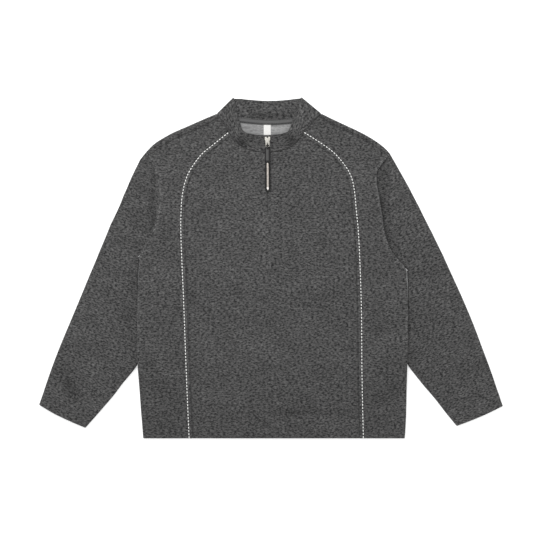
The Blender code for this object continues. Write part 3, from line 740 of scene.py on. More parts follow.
def make_centre_front():
    base, slit_end = Vector((ZIP_X, HEM[2][1])), Vector((ZIP_X, ZIP_END))
    level = Vector((ZIP_X, (ARMHOLE["left"][0][1] + ARMHOLE["right"][0][1]) / 2))
    upper = ARMHOLE_CELLS + SHOULDER_CELLS + 2
    centre = joined(
        spaced([base, level], SIDE_CELLS, near=HEM_EDGE),
        spaced([level, slit_end], upper - SLIT_CELLS),
        spaced([slit_end, COLLAR_FRONT["left"][0]], SLIT_CELLS, far=SEAM),
    )
    mesh = bmesh.new()
    for side, flip in (("left", False), ("right", True)):
        princess = PRINCESS_LINE[side]
        hem = spaced([princess[0], base], HALF_FRONT_CELLS, near=SEAM, far=SLIT)
        rows = patch(hem, COLLAR_FRONT[side][::-1], princess, centre, near=SEAM, far=SLIT)
        lifts = edge_rises(rows, left=SEAM, bottom=HEM_EDGE, top=SEAM)
        slit = edge_rises(rows, right=SLIT)
        sheet = []
        for row, near_edge, near_slit in zip(rows, lifts, slit):
            opening = ease(SLIT_SHUT, SLIT_FORMED, row[-1].y)
            lift = [a if abs(a) > abs(b) else b * opening for a, b in zip(near_edge, near_slit)]
            sheet.append([on_front(p, up) for p, up in zip(row, lift)])
        add_grid(mesh, sheet, woven(sheet), flip=flip)
    low = [v for v in mesh.verts if v.co.y < SLIT_STARTS * MM]
    bmesh.ops.remove_doubles(mesh, verts=low, dist=SAME * MM)
    for vert in mesh.verts:
        if vert.co.y > SLIT_STARTS * MM and abs(vert.co.x - ZIP_X * MM) < SAME * MM:
            left = all(face.calc_center_median().x < ZIP_X * MM for face in vert.link_faces)
            vert.co.x += (-2 if left else 2) * SAME * MM
    return make_up("centre_front_cloth", mesh, (KNIT, KNIT_INSIDE), WALL)


# Patches of painted light and shade: x, y, half width, half height, how much
FRONT_PAINTED_LIGHT_AND_SHADE = (
    (-7.0, 110.0, 190.0, 130.0, 0.05),
    (0.0, -330.0, 260.0, 90.0, -0.10),
    (-225.0, -250.0, 42.0, 90.0, -0.10),
    (232.0, -270.0, 46.0, 62.0, -0.09),
    (-252.0, -330.0, 40.0, 30.0, -0.07),
    (235.0, -90.0, 26.0, 90.0, -0.05),
    (-228.0, 40.0, 30.0, 80.0, -0.04),
    (-42.0, 232.0, 16.0, 12.0, -0.08),
    (30.0, 238.0, 18.0, 10.0, -0.06),
    (-165.0, -55.0, 9.0, 6.0, -0.14),
    (94.0, -304.0, 92.0, 5.0, -0.10),
    (-262.0, 5.0, 18.0, 20.0, -0.08),
    (268.0, -25.0, 16.0, 22.0, -0.08),
    (-281.0, -110.0, 5.0, 95.0, 0.32),
    (287.0, -120.0, 5.0, 95.0, 0.32),
    (-235.0, 170.0, 4.5, 36.0, 0.22),
    (-235.0, 118.0, 4.5, 28.0, 0.22),
    (-243.0, 84.0, 6.0, 16.0, 0.16),
)
centre_front_cloth = make_centre_front()
# Painted light and shade on the centre front
paint_light_and_shade(centre_front_cloth, FRONT_CREASES, FRONT_PAINTED_LIGHT_AND_SHADE, on_front)
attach(centre_front_cloth, "garment")
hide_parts("front_centre_panel")

# --- Side fronts ---------------------------------------------------------------------------
# A panel at each side, from the hem to the collar, of the same knit. It is seamed to the
# centre front, rolls down to the back at its side and is sewn to the sleeve and shoulder.

ROLL_STEPS = (18, 36, 54, 72)
ROLL_ENDS = 30.0  # the side's roll dies out over this much below the underarm
ARMHOLE_ROWS = 8  # rows below the underarm over which the armhole's edge forms
# How the edges lie at the armhole, on the body's side, and at the shoulder
ARMHOLE_BODY = {
    "left": ((0.0, 1.2), (0.8, 1.5), (2.2, 1.2), (4.5, 0.6), (8.0, 0.2), (12.0, 0.0)),
    "right": ((0.0, 0.7), (0.8, 1.3), (2.2, 1.4), (4.5, 0.8), (8.0, 0.2), (12.0, 0.0)),
}
SHOULDER_BODY = ((0.0, -0.9), (1.0, -0.85), (2.2, -0.4), (4.2, 0.0))


def make_side_front(name, side, flip):
    inner, neckline = PRINCESS_LINE[side], COLLAR_SIDE[side]
    sides = side_edge(side, SIDE_CELLS)
    outer = joined(sides, ARMHOLE_LINE[side], SHOULDER_SEAM[side])
    inward = normals(
        outer,
        inner,
        first=(inner[0] - outer[0]).normalized(),
        last=(neckline[-2] - neckline[-1]).normalized(),
    )
    angles = [math.radians(degrees) for degrees in ROLL_STEPS]
    edge = moved(outer, inward, FOLD * math.sin(angles[-1]))
    hem = spaced([inner[0], edge[0]], SIDE_PANEL_CELLS, near=TOPSTITCHED)
    rows = patch(hem, [*neckline[:-1], edge[-1]], inner, edge, near=TOPSTITCHED)
    lifts = edge_rises(rows, left=TOPSTITCHED, bottom=HEM_EDGE, top=SEAM)
    sheet = []
    forms_from, underarm_y = len(sides) - ARMHOLE_ROWS, sides[-1].y
    for j, row in enumerate(rows):
        beside = j < len(sides)
        rolled = FOLD * ease(underarm_y, underarm_y - ROLL_ENDS, outer[j].y) if beside else 0
        at_armhole = forms_from < j < len(sides) + ARMHOLE_CELLS
        seam = ARMHOLE_BODY[side] if at_armhole else PLAIN if beside else SHOULDER_BODY
        fade = min((j - forms_from) / ARMHOLE_ROWS, 1.0) if at_armhole else 1.0
        line = []
        for p, lift in zip(row, lifts[j]):
            near = rise(seam, (p - outer[j]).length) * fade
            line.append(on_front(p, near if abs(near) > abs(lift) else lift))
        for angle in angles:
            p = edge[j] - inward[j] * (FOLD * math.sin(angle))
            near = rise(seam, (p - outer[j]).length) * fade
            line.append(on_front(p, near - rolled * (1 - math.cos(angle))))
        sheet.append(line)
    mesh = bmesh.new()
    add_grid(mesh, sheet, woven(sheet), flip=flip)
    return make_up(name, mesh, (KNIT, KNIT_INSIDE), WALL)


for side, flip, width, area in (("left", True, 0.196, 0.0618), ("right", False, 0.222, 0.0602)):
    panel = make_side_front(f"side_front_cloth_{side}", side, flip)
    # Painted light and shade on the side fronts
    paint_light_and_shade(panel, FRONT_CREASES, FRONT_PAINTED_LIGHT_AND_SHADE, on_front)
    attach(panel, "garment")
    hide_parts(f"front_side_{side}")

# --- Sleeves -------------------------------------------------------------------------------
# Two tubes of the same knit, pressed flat between a fold above and a fold below the arm.
# Each is set into its armhole and lies partly under the body.

ARM_CELLS = 60
ACROSS_CELLS = 18
SET_BACK = 0.1
UNDER_SHARE = 0.8  # how much of the upper face's relief the under face has
# How the sleeve's edge lies at the armhole
ARMHOLE_SLEEVE = {
    "left": ((0.0, 0.5), (1.4, 0.2), (3.4, -0.35), (7.0, 0.0)),
    "right": ((0.0, -0.9), (1.4, -0.7), (3.4, -0.35), (7.0, 0.0)),
}
# Outer line up to the shoulder, inner line up to the underarm, cuff, level of the underarm
SLEEVE = {
    "left": {
        "outer": (
            (-487.6, -288.0), (-481.0, -269.0), (-464.0, -219.0), (-445.0, -168.5),
            (-424.0, -118.0), (-403.0, -68.0), (-382.0, -17.0), (-361.0, 33.0), (-340.0, 83.5),
            (-317.0, 134.0), (-296.0, 184.0), (-275.5, 227.0),
        ),
        "inner": (
            (-390.0, -336.5), (-365.0, -308.0), (-333.0, -271.0), (-312.5, -244.0),
            (-294.0, -222.0), (-280.0, -202.0), (-268.0, -168.0), (-263.0, -130.0),
            (-266.0, -98.0), (-272.0, -76.0), (-277.6, -56.0), (-279.8, -38.0), (-279.2, -20.0),
            (-278.3, 2.0), (-277.0, 23.0),
        ),
        "cuff": ((-487.6, -288.0), (-453.6, -308.0), (-415.0, -326.0), (-390.0, -336.5)),
        "level": 52.0,
    },
    "right": {
        "outer": (
            (487.6, -290.5), (479.8, -269.0), (463.0, -219.0), (444.2, -168.5), (425.2, -118.0),
            (404.2, -68.0), (381.2, -17.0), (358.2, 33.0), (333.2, 83.5), (307.8, 134.0),
            (281.6, 184.0), (260.3, 222.0),
        ),
        "inner": (
            (390.4, -332.6), (369.3, -306.8), (344.3, -274.8), (324.4, -251.6), (303.8, -226.0),
            (286.5, -202.0), (276.0, -172.0), (272.0, -142.0), (275.0, -116.0), (282.0, -96.0),
            (286.6, -80.0), (287.7, -64.0), (287.1, -46.0), (286.3, -26.0), (285.0, -6.0),
        ),
        "cuff": ((487.6, -290.5), (452.0, -308.0), (416.0, -323.0), (390.4, -332.6)),
        "level": 26.0,
    },
}
# Soft ridges and troughs across the sleeves: from, to, half width, height
SLEEVE_CREASES = (
    (-452.0, -212.0, -402.0, -276.0, 8.0, -0.9),
    (-468.0, -240.0, -420.0, -292.0, 9.0, 1.2),
    (-436.0, -180.0, -372.0, -232.0, 10.0, 1.0),
    (-420.0, -130.0, -350.0, -150.0, 11.0, 1.0),
    (-398.0, -84.0, -330.0, -108.0, 9.0, 0.9),
    (-372.0, -22.0, -316.0, -40.0, 10.0, 1.1),
    (-350.0, 34.0, -306.0, 16.0, 9.0, 1.0),
    (-330.0, 88.0, -272.0, 62.0, 10.0, 1.1),
    (-302.0, 148.0, -258.0, 128.0, 9.0, 0.9),
    (-276.0, 200.0, -252.0, 168.0, 9.0, 0.8),
    (458.0, -232.0, 404.0, -262.0, 10.0, 1.1),
    (474.0, -270.0, 424.0, -298.0, 9.0, 0.9),
    (438.0, -176.0, 372.0, -206.0, 10.0, 1.1),
    (416.0, -122.0, 344.0, -134.0, 9.0, 1.0),
    (396.0, -70.0, 330.0, -92.0, 10.0, 1.2),
    (372.0, -22.0, 322.0, -32.0, 8.0, 1.0),
    (352.0, 22.0, 300.0, 6.0, 9.0, 1.2),
    (330.0, 70.0, 276.0, 50.0, 9.0, 1.1),
    (304.0, 122.0, 258.0, 96.0, 9.0, 1.2),
    (282.0, 164.0, 244.0, 140.0, 8.0, 1.0),
)
# Patches of painted light and shade on the sleeves, as on the front
SLEEVE_PAINTED_LIGHT_AND_SHADE = (
    (-288.0, -60.0, 16.0, 130.0, -0.16),
    (-252.0, 90.0, 24.0, 70.0, -0.10),
    (-262.0, 180.0, 24.0, 50.0, -0.08),
    (-238.0, 165.0, 3.0, 40.0, 0.20),
    (-238.0, 115.0, 3.0, 28.0, 0.20),
    (-247.0, 160.0, 6.0, 42.0, -0.22),
    (-248.0, 108.0, 6.0, 28.0, -0.22),
    (-428.0, -245.0, 9.0, 26.0, -0.24),
    (-412.0, -262.0, 16.0, 20.0, -0.16),
    (-420.0, -250.0, 44.0, 60.0, -0.08),
    (-405.0, -140.0, 60.0, 50.0, -0.04),
    (236.0, 200.0, 9.0, 36.0, -0.24),
    (236.0, 140.0, 9.0, 44.0, -0.26),
    (244.0, 80.0, 9.0, 40.0, -0.24),
    (262.0, 38.0, 12.0, 26.0, -0.20),
    (294.0, -90.0, 12.0, 90.0, -0.06),
    (292.0, -190.0, 14.0, 50.0, -0.07),
    (390.0, -220.0, 60.0, 60.0, -0.05),
    (330.0, 20.0, 50.0, 60.0, -0.04),
)


def on_sleeve(point, lift=0.0):
    clear = 1 - ease(0.0, 1.5, lap(point + Vector((6.0 if point.x < 0 else -6.0, 0.0))))
    wave = 0.4 * noise.noise(Vector((point.x / 36, point.y / 36, 3.0)))
    soft = (creased(point, SLEEVE_CREASES) + wave) * clear
    return Vector((*point, LAYERS + max(soft, -0.9) + lift))


def make_sleeve(name, side, flip):
    shape, armhole, seam = SLEEVE[side], ARMHOLE_LINE[side], ARMHOLE_SLEEVE[side]
    corner, shoulder_end = Vector(SHOULDER[side][0]), armhole[-1]
    arm, head = split(curve(shape["outer"]), shape["level"])
    # Both folds end at the shoulder corner, where their walls lean towards each other.
    set_back = corner + (head[-1] - corner).normalized() * SET_BACK
    outer = [
        *joined(spaced(arm, ARM_CELLS, near=HEM_EDGE), spaced(head, ARMHOLE_CELLS - 1)),
        set_back,
    ]
    level = ARM_CELLS + len(HEM_EDGE) - 1
    inner = spaced(curve(shape["inner"]), ARM_CELLS, near=HEM_EDGE)
    opening = curve(shape["cuff"])
    middle = outer[level].lerp(inner[-1], 0.5)
    outer_in = normals(
        outer,
        [middle] * len(outer),
        first=(opening[1] - opening[0]).normalized(),
        last=(shoulder_end - corner).normalized(),
    )
    cuff_end = (opening[-2] - opening[-1]).normalized()
    inner_in = normals(inner, [middle] * len(inner), first=cuff_end)
    outer_fold, inner_fold = moved(outer, outer_in, FOLD), moved(inner, inner_in, FOLD)
    ends = outer_fold[0], inner_fold[0]
    between = [p for p in opening if min((p - opening[0]).length, (p - opening[-1]).length) > 4]
    cuff = spaced([ends[0], *between, ends[1]], ACROSS_CELLS, far=seam)
    row_at_level = spaced([outer_fold[level], inner_fold[-1]], ACROSS_CELLS, far=seam)
    arm_folds = outer_fold[: level + 1], inner_fold
    rows = patch(cuff, row_at_level, *arm_folds, far=seam)
    for start, end in zip(outer_fold[level + 1 :], armhole[1:]):
        rows.append(spaced([start, end], ACROSS_CELLS, far=seam))
    round_arm = []
    for j, (row, way) in enumerate(zip(rows, outer_in)):
        at_seam = ease(level - ARMHOLE_ROWS, level + 2, j)
        cuff_lift = [rise(HEM_EDGE, (p - rows[0][i]).length) for i, p in enumerate(row)]
        seam_lift = [rise(seam, (p - row[-1]).length) * at_seam for p in row]
        lift = [max(pair, key=abs) for pair in zip(cuff_lift, seam_lift)]
        face = [on_sleeve(p, up) for p, up in zip(row, lift)]
        under = [Vector((*p, max(-up * UNDER_SHARE, 0.0))) for p, up in zip(row, lift)]
        fold = fold_round(row[0], -way, under[0].z, face[0].z, FOLD_STEPS[::-1])
        round_arm.append([*under[::-1], *fold, *face])
    rings = []
    for line, row, way in zip(round_arm, rows, inner_in):
        rings.append(line + fold_round(row[-1], -way, line[0].z, line[-1].z, FOLD_STEPS))
    grain = outer[level].lerp(inner[-1], 0.5) - outer[0].lerp(inner[0], 0.5)
    across = Vector((grain.y, -grain.x)).normalized()
    mesh = bmesh.new()
    add_grid(mesh, rings, woven(rings, across, closed=True), closed=True, flip=flip)
    add_grid(mesh, round_arm[level:], woven(round_arm[level:], across), flip=flip)
    return make_up(name, mesh, (KNIT, KNIT_INSIDE), WALL)


for side, flip, area in (("left", False, 0.128), ("right", True, 0.1225)):
    sleeve = make_sleeve(f"sleeve_cloth_{side}", side, flip)
    # Painted light and shade on the sleeve
    paint_light_and_shade(sleeve, SLEEVE_CREASES, SLEEVE_PAINTED_LIGHT_AND_SHADE, on_sleeve)
    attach(sleeve, "garment")
    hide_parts(f"sleeve_{side}")

# --- Collar --------------------------------------------------------------------------------
# A stand collar of the same knit, folded double along its upper edge and sewn round the
# neck. It is split at the front, where the zip runs up to its edge.

COLLAR_WALL = 2.4
COLLAR_ZIP_RISE = 1.1
COLLAR_CELLS = 8
COLLAR_TOP_EDGE = ((0.0, -1.1), (0.5, -0.5), (1.3, -0.12), (2.4, 0.0))
# Upper edge from the zip to the side fold, the fold's upper end, and the edge's corner
COLLAR = {
    "left": {
        "edge": (
            (-7.4, 278.8), (-26.0, 279.2), (-41.0, 281.3), (-52.0, 284.0), (-59.0, 288.5),
            (-62.5, 296.0), (-66.5, 309.0), (-72.0, 330.0),
        ),
        "top": (-79.0, 357.6),
        "turn": 5,
    },
    "right": {
        "edge": (
            (-7.4, 278.8), (10.0, 280.0), (25.0, 282.2), (35.0, 286.3), (39.5, 293.5),
            (43.0, 304.0), (49.0, 318.0), (56.5, 336.0),
        ),
        "top": (63.6, 358.47),
        "turn": 4,
    },
}
BACK_EDGE = ((-65.0, 355.8), (-50.0, 354.1), (-7.4, 351.2), (30.0, 353.0), (50.0, 355.4))
# Soft ridges and troughs of the collar's front: from, to, half width, height
COLLAR_CREASES = (
    (-62.0, 268.0, -58.0, 258.0, 6.0, -0.9),
    (-48.0, 252.0, -52.0, 278.0, 5.0, 0.9),
    (45.0, 270.0, 42.0, 260.0, 6.0, -0.9),
    (32.0, 254.0, 34.0, 280.0, 5.0, 0.8),
    (64.7, 337.0, 64.7, 311.0, 4.0, 1.1),
    (-84.0, 340.0, -78.0, 300.0, 6.0, 0.8),
)


def on_collar_front(point, lift=0.0):
    soft = max(creased(point, COLLAR_CREASES), -0.9)
    return Vector((*point, LAYERS + COLLAR_ZIP_RISE * near_zip(point) + soft + lift))


def collar_half(side):
    """Rows of one front half of the collar, from the zip to the side fold, and the
    directions that the fold turns in."""
    shape = COLLAR[side]
    base = [*joined(COLLAR_FRONT[side], COLLAR_SIDE[side]), SHOULDER_FOLD[side][-1]]
    neck_point, top_corner = Vector(SHOULDER[side][-1]), Vector(shape["top"])
    turn_in = normals([neck_point, top_corner], [base[0]] * 2)[0]
    fold_top = top_corner + turn_in * FOLD
    points, turn = shape["edge"], shape["turn"]
    front_edge = spaced(curve(points[: turn + 1]), HALF_FRONT_CELLS, near=SLIT, far=SEAM)
    rest = len(COLLAR_SIDE[side])
    edge = joined(front_edge, spaced(curve([*points[turn:], tuple(fold_top)]), rest))
    zip_edge = spaced([base[0], edge[0]], COLLAR_CELLS, near=SEAM, far=COLLAR_TOP_EDGE)
    fold_line = spaced([base[-1], fold_top], COLLAR_CELLS, near=SEAM, far=COLLAR_TOP_EDGE)
    rows = patch(base, edge, zip_edge, fold_line)
    lifts = edge_rises(rows, left=SLIT, bottom=SEAM, top=COLLAR_TOP_EDGE)
    face = [[on_collar_front(p, up) for p, up in zip(*pair)] for pair in zip(rows, lifts)]
    base_out, count = SHOULDER_OUT[side][-1], len(rows) - 1
    outs = [base_out.lerp(-turn_in, j / count).normalized() for j in range(count + 1)]
    return rows, face, outs


def unrolled(rows):
    """Where each point lies on the uncut cloth of a band that bends as it goes."""
    along = lengths(rows[len(rows) // 2])
    up = lengths([row[0] for row in rows])
    return [[(u, v) for u in along] for v in up]


def make_collar():
    (left_rows, left, left_out), (right_rows, right, right_out) = map(collar_half, COLLAR)
    left_fold, right_fold = [r[-1] for r in left_rows], [r[-1] for r in right_rows]
    edge = spaced(curve([right_fold[-1], *BACK_EDGE[::-1], left_fold[-1]]), BACK_NECK_CELLS)
    back_rows = patch(BACK_NECK_LINE[::-1], edge, right_fold, left_fold)
    lifts = edge_rises(back_rows, bottom=SEAM, top=COLLAR_TOP_EDGE)
    band = []
    for j, row in enumerate(back_rows):
        behind = [Vector((*p, -up)) for p, up in zip(row, lifts[j])]
        out_right, out_left = right_out[j], left_out[j]
        band.append(
            right[j]
            + fold_round(right_fold[j], out_right, behind[0].z, right[j][-1].z, FOLD_STEPS)
            + behind
            + fold_round(left_fold[j], out_left, behind[-1].z, left[j][-1].z, FOLD_STEPS[::-1])
            + left[j][::-1]
        )
    mesh = bmesh.new()
    add_grid(mesh, band, unrolled(band))
    return make_up("collar_cloth", mesh, (KNIT,), COLLAR_WALL, soft_edge=0.8)


# Patches of painted light and shade on the collar, as on the front
COLLAR_PAINTED_LIGHT_AND_SHADE = (
    (-60.0, 264.0, 12.0, 9.0, -0.48),
    (44.0, 266.0, 12.0, 9.0, -0.48),
    (-40.0, 278.0, 26.0, 6.0, -0.34),
    (22.0, 278.0, 24.0, 6.0, -0.34),
    (-66.0, 312.0, 5.0, 26.0, 0.12),
    (64.7, 324.0, 4.0, 16.0, 0.30),
    (46.0, 300.0, 5.0, 16.0, 0.12),
    (-36.0, 319.0, 22.0, 7.0, -0.30),
    (-7.0, 317.0, 26.0, 7.0, -0.32),
    (28.0, 319.0, 22.0, 7.0, -0.24),
    (-38.0, 264.0, 30.0, 11.0, -0.26),
    (22.0, 266.0, 26.0, 10.0, -0.08),
)
collar_cloth = make_collar()
# Painted light and shade on the collar
paint_light_and_shade(collar_cloth, COLLAR_CREASES, COLLAR_PAINTED_LIGHT_AND_SHADE, on_collar_front)
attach(collar_cloth, "garment")
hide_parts("collar")

# --- Neck tape -----------------------------------------------------------------------------
# A twill tape inside the collar that covers the back neck seam from shoulder to shoulder.
# It is sewn down along both edges, and catches the label.

TAPE_WALL = 0.6
NECK_TAPE_Z = COLLAR_WALL + LAID_ON
# Across the tape: distance above the neck seam, height
NECK_TAPE_FORM = (
    (-5.0, -0.2), (-4.4, 0.0), (-2.8, 0.05), (-1.0, 0.1), (0.8, 0.05), (2.4, 0.0), (3.0, -0.2),
)
NECK_TAPE_ENDS = (-78.0, 60.0)


def twill(name, colour, rib, depth):
    """Plain dyed twill: fine ribs at a slant, and hardly any change of tone."""
    made, tree, shader = new_finish(
        name, {"Roughness": 0.75, "Specular IOR Level": 0.3, "Sheen Weight": 0.15}
    )
    place = add_node(tree, "ShaderNodeUVMap", {}, uv_map="weave").outputs["UV"]
    apart = add_node(tree, "ShaderNodeSeparateXYZ", {0: place})
    slant = calculated(tree, "ADD", apart.outputs["X"], apart.outputs["Y"])
    turn = calculated(tree, "MULTIPLY", slant, 2 * math.pi / rib)
    ribs = calculated(tree, "MULTIPLY_ADD", calculated(tree, "SINE", turn), 0.5, 0.5)
    shade = calculated(tree, "MULTIPLY_ADD", fleck(tree, place, 2.6, 0.9), 0.35, 0.78)
    shade = calculated(tree, "MULTIPLY_ADD", ribs, 0.12, shade)
    give(shader, {"Base Color": shaded(tree, colour, shade)})
    emboss(tree, shader, ribs, 0.7, depth)
    return made


TAPE = twill("neck_tape", (0.078, 0.078, 0.078), 0.8, 0.12)


def make_neck_tape():
    seam = [p for p in curve(BACK_NECK) if NECK_TAPE_ENDS[0] < p.x < NECK_TAPE_ENDS[1]]
    seam = spaced(seam, 48)
    rows = [
        [Vector((p.x, p.y + off, NECK_TAPE_Z + TAPE_WALL + height)) for p in seam]
        for off, height in NECK_TAPE_FORM
    ]
    mesh = bmesh.new()
    add_grid(mesh, rows, unrolled(rows))
    return make_up("neck_tape_ribbon", mesh, (TAPE,), TAPE_WALL, gap=0.0, soft_edge=0.15)


neck_tape_ribbon = make_neck_tape()
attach(neck_tape_ribbon, "garment")
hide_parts("neck_tape")

# --- Label ---------------------------------------------------------------------------------
# A bare satin ribbon, caught under the neck tape and hanging down inside the back.

LABEL_WALL = 0.4
LABEL_LEFT, LABEL_RIGHT = -15.3, -0.4
LABEL_TOP, LABEL_BOTTOM = 303.0, 266.0
LABEL = twill("label_satin", (0.62, 0.615, 0.60), 0.35, 0.05)


def make_label():
    across = [LABEL_LEFT + (LABEL_RIGHT - LABEL_LEFT) * mark / 14 for mark in range(15)]
    middle, half = (LABEL_LEFT + LABEL_RIGHT) / 2, (LABEL_RIGHT - LABEL_LEFT) / 2
    rows = []
    for mark in range(31):
        y = LABEL_BOTTOM + (LABEL_TOP - LABEL_BOTTOM) * mark / 30
        rows.append([])
        for x in across:
            edge = abs(x - middle) / half
            thick_edge = 0.07 if 0.88 < edge < 0.98 else 0.0
            wave = 0.06 * math.sin(y / 4.1) * edge
            rows[-1].append(Vector((x, y, WALL + LAID_ON + LABEL_WALL + thick_edge + wave)))
    mesh = bmesh.new()
    add_grid(mesh, rows, woven(rows))
    return make_up("label_ribbon", mesh, (LABEL,), LABEL_WALL, gap=0.0, soft_edge=0.1)


label_ribbon = make_label()
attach(label_ribbon, "garment")
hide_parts("label")

# --- Zip -----------------------------------------------------------------------------------
# A nylon coil zip sewn in behind the slit and the collar's front edges. Its two tapes meet
# in the middle, and its coils face inwards.

ZIP_TAPE_Z = 3.0
ZIP_TAPE_ENDS = (97.0, 274.0)
COIL_ENDS = (104.0, 262.0)
COIL_PITCH = 1.3
ZIP_TAPE = twill("zip_tape", (0.06, 0.06, 0.06), 0.9, 0.12)


def clouds(tree, scale):
    """Uneven tone, 0 to 1, in clouds all through a piece."""
    place = add_node(tree, "ShaderNodeTexCoord", {}).outputs["Object"]
    return add_node(tree, "ShaderNodeTexNoise", {"Vector": place, "Scale": scale}).outputs["Fac"]


def uneven_gloss(tree, shader, tone, roughness, spread):
    """Makes a surface's gloss vary a little about its roughness."""
    gloss = calculated(tree, "MULTIPLY_ADD", tone, spread, roughness - spread / 2)
    give(shader, {"Roughness": gloss})


def plain_plastic(name, colour, roughness):
    """Moulded nylon: one colour, faintly uneven in gloss."""
    made, tree, shader = new_finish(name, {"Base Color": (*colour, 1.0)})
    uneven_gloss(tree, shader, clouds(tree, 900.0), roughness, 0.2)
    return made


def sewing_tree():
    """Geometry nodes that set one small rounded piece after another along a line."""
    tree = bpy.data.node_groups.new("run_along_a_line", "GeometryNodeTree")
    kinds = (
        ("Line", "Geometry"), ("Pitch", "Float"), ("Length", "Float"), ("Width", "Float"),
        ("Height", "Float"), ("Finish", "Material"),
    )
    for name, kind in kinds:
        tree.interface.new_socket(name, in_out="INPUT", socket_type=f"NodeSocket{kind}")
    tree.interface.new_socket("Pieces", in_out="OUTPUT", socket_type="NodeSocketGeometry")
    given = tree.nodes.new("NodeGroupInput").outputs
    line = add_node(tree, "GeometryNodeMeshToCurve", {"Mesh": given["Line"]})
    marked = {"Curve": line.outputs["Curve"], "Length": given["Pitch"]}
    places = add_node(tree, "GeometryNodeCurveToPoints", marked, mode="LENGTH")
    tangent = {"Vector": places.outputs["Tangent"]}
    turned = add_node(tree, "FunctionNodeAlignRotationToVector", tangent, axis="X")
    ball = {"Segments": 8, "Rings": 6, "Radius": 0.5}
    bead = add_node(tree, "GeometryNodeMeshUVSphere", ball)
    smooth = add_node(tree, "GeometryNodeSetShadeSmooth", {"Geometry": bead.outputs["Mesh"]})
    uneven = add_node(tree, "FunctionNodeRandomValue", {2: 0.9, 3: 1.08, "Seed": 7})
    size = add_node(tree, "ShaderNodeCombineXYZ", {
        "X": calculated(tree, "MULTIPLY", given["Length"], uneven.outputs[1]),
        "Y": given["Width"], "Z": given["Height"],
    })
    set_down = add_node(tree, "GeometryNodeInstanceOnPoints", {
        "Points": places.outputs["Points"], "Instance": smooth.outputs["Geometry"],
        "Rotation": turned.outputs["Rotation"], "Scale": size.outputs[0],
    })
    instances = {"Geometry": set_down.outputs["Instances"]}
    whole = add_node(tree, "GeometryNodeRealizeInstances", instances)
    finish = {"Geometry": whole.outputs["Geometry"], "Material": given["Finish"]}
    finished = add_node(tree, "GeometryNodeSetMaterial", finish)
    add_node(tree, "NodeGroupOutput", {"Pieces": finished.outputs["Geometry"]})
    return tree


SEWING = sewing_tree()


def run_along(name, lines, pitch, length, width, height, finish):
    """Small rounded pieces, such as stitches, set along lines, as one plain mesh."""
    points, edges = [], []
    for line in lines:
        edges += [(len(points) + k, len(points) + k + 1) for k in range(len(line) - 1)]
        points += [tuple(p * MM) for p in line]
    drawn = bpy.data.meshes.new("line")
    drawn.from_pydata(points, edges, [])
    holder = set_out("line", drawn)
    run = holder.modifiers.new("Run", "NODES")
    run.node_group = SEWING
    wanted = {
        "Pitch": pitch * MM, "Length": length * MM, "Width": width * MM, "Height": height * MM,
        "Finish": finish,
    }
    for socket in SEWING.interface.items_tree:
        if socket.in_out == "INPUT" and socket.name in wanted:
            run[socket.identifier] = wanted[socket.name]
    view_layer = bpy.context.evaluated_depsgraph_get()
    mesh = bpy.data.meshes.new_from_object(holder.evaluated_get(view_layer))
    mesh.name = name
    bpy.data.objects.remove(holder)
    bpy.data.meshes.remove(drawn)
    return set_out(name, mesh)


def make_zip_tape():
    # Across: distance from the middle, height. The two tapes meet in a fine groove.
    form = [(-11.0, 0.0), (-6.0, 0.0), (-2.2, 0.0), (-0.5, 0.05), (0.0, -0.12)]
    form += [(-off, height) for off, height in form[-2::-1]]
    middle = spaced([Vector((ZIP_X, y)) for y in ZIP_TAPE_ENDS], 60)
    rows = [
        [Vector((p.x + off, p.y, ZIP_TAPE_Z + TAPE_WALL + height)) for off, height in form]
        for p in middle
    ]
    mesh = bmesh.new()
    add_grid(mesh, rows, woven(rows))
    return make_up("zip_tape_ribbon", mesh, (ZIP_TAPE,), TAPE_WALL, gap=0.0, soft_edge=0.1)


zip_tape_ribbon = make_zip_tape()
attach(zip_tape_ribbon, "garment")
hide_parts("zip_tape")

COIL = plain_plastic("zip_coil", (0.02, 0.02, 0.02), 0.4)
coil_lines = []
for off, late in ((-0.75, 0.0), (0.75, COIL_PITCH / 2)):
    ends = [Vector((ZIP_X + off, y + late, ZIP_TAPE_Z - 0.4)) for y in COIL_ENDS]
    coil_lines.append(ends)
zip_coil = run_along("zip_coil", coil_lines, COIL_PITCH, 0.7, 2.2, 0.7, COIL)
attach(zip_coil, "garment")

# --- White topstitching ----------------------------------------------------------------------
# One row of thick white thread down each side front, beside the curved seam, from the
# collar to the hem. It holds down the seam's allowance.

STITCH_FROM_SEAM = 7.5


def thread(name, colour):
    """Twisted polyester thread: its ply winds round each stitch."""
    made, tree, shader = new_finish(
        name, {"Base Color": (*colour, 1.0), "Roughness": 0.6, "Sheen Weight": 0.2}
    )
    place = add_node(tree, "ShaderNodeTexCoord", {}).outputs["Object"]
    twist = {"Vector": place, "Scale": 900.0, "Distortion": 1.0}
    ply = add_node(tree, "ShaderNodeTexWave", twist, bands_direction="DIAGONAL")
    emboss(tree, shader, ply.outputs["Fac"], 0.5, 0.1)
    return made


WHITE_THREAD = thread("white_thread", (0.82, 0.82, 0.80))
topstitch_lines = []
for side, out in (("left", -500.0), ("right", 500.0)):
    seam = PRINCESS_LINE[side]
    facing = [p + Vector((out, 300.0)) for p in seam]
    line = spaced(moved(seam, normals(seam, facing), STITCH_FROM_SEAM), 260)[1:-1]
    topstitch_lines.append([on_front(p, rise(TOPSTITCHED, STITCH_FROM_SEAM) + 0.2) for p in line])
topstitching = run_along("white_topstitching", topstitch_lines, 6.75, 4.9, 1.9, 1.0, WHITE_THREAD)
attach(topstitching, "garment")
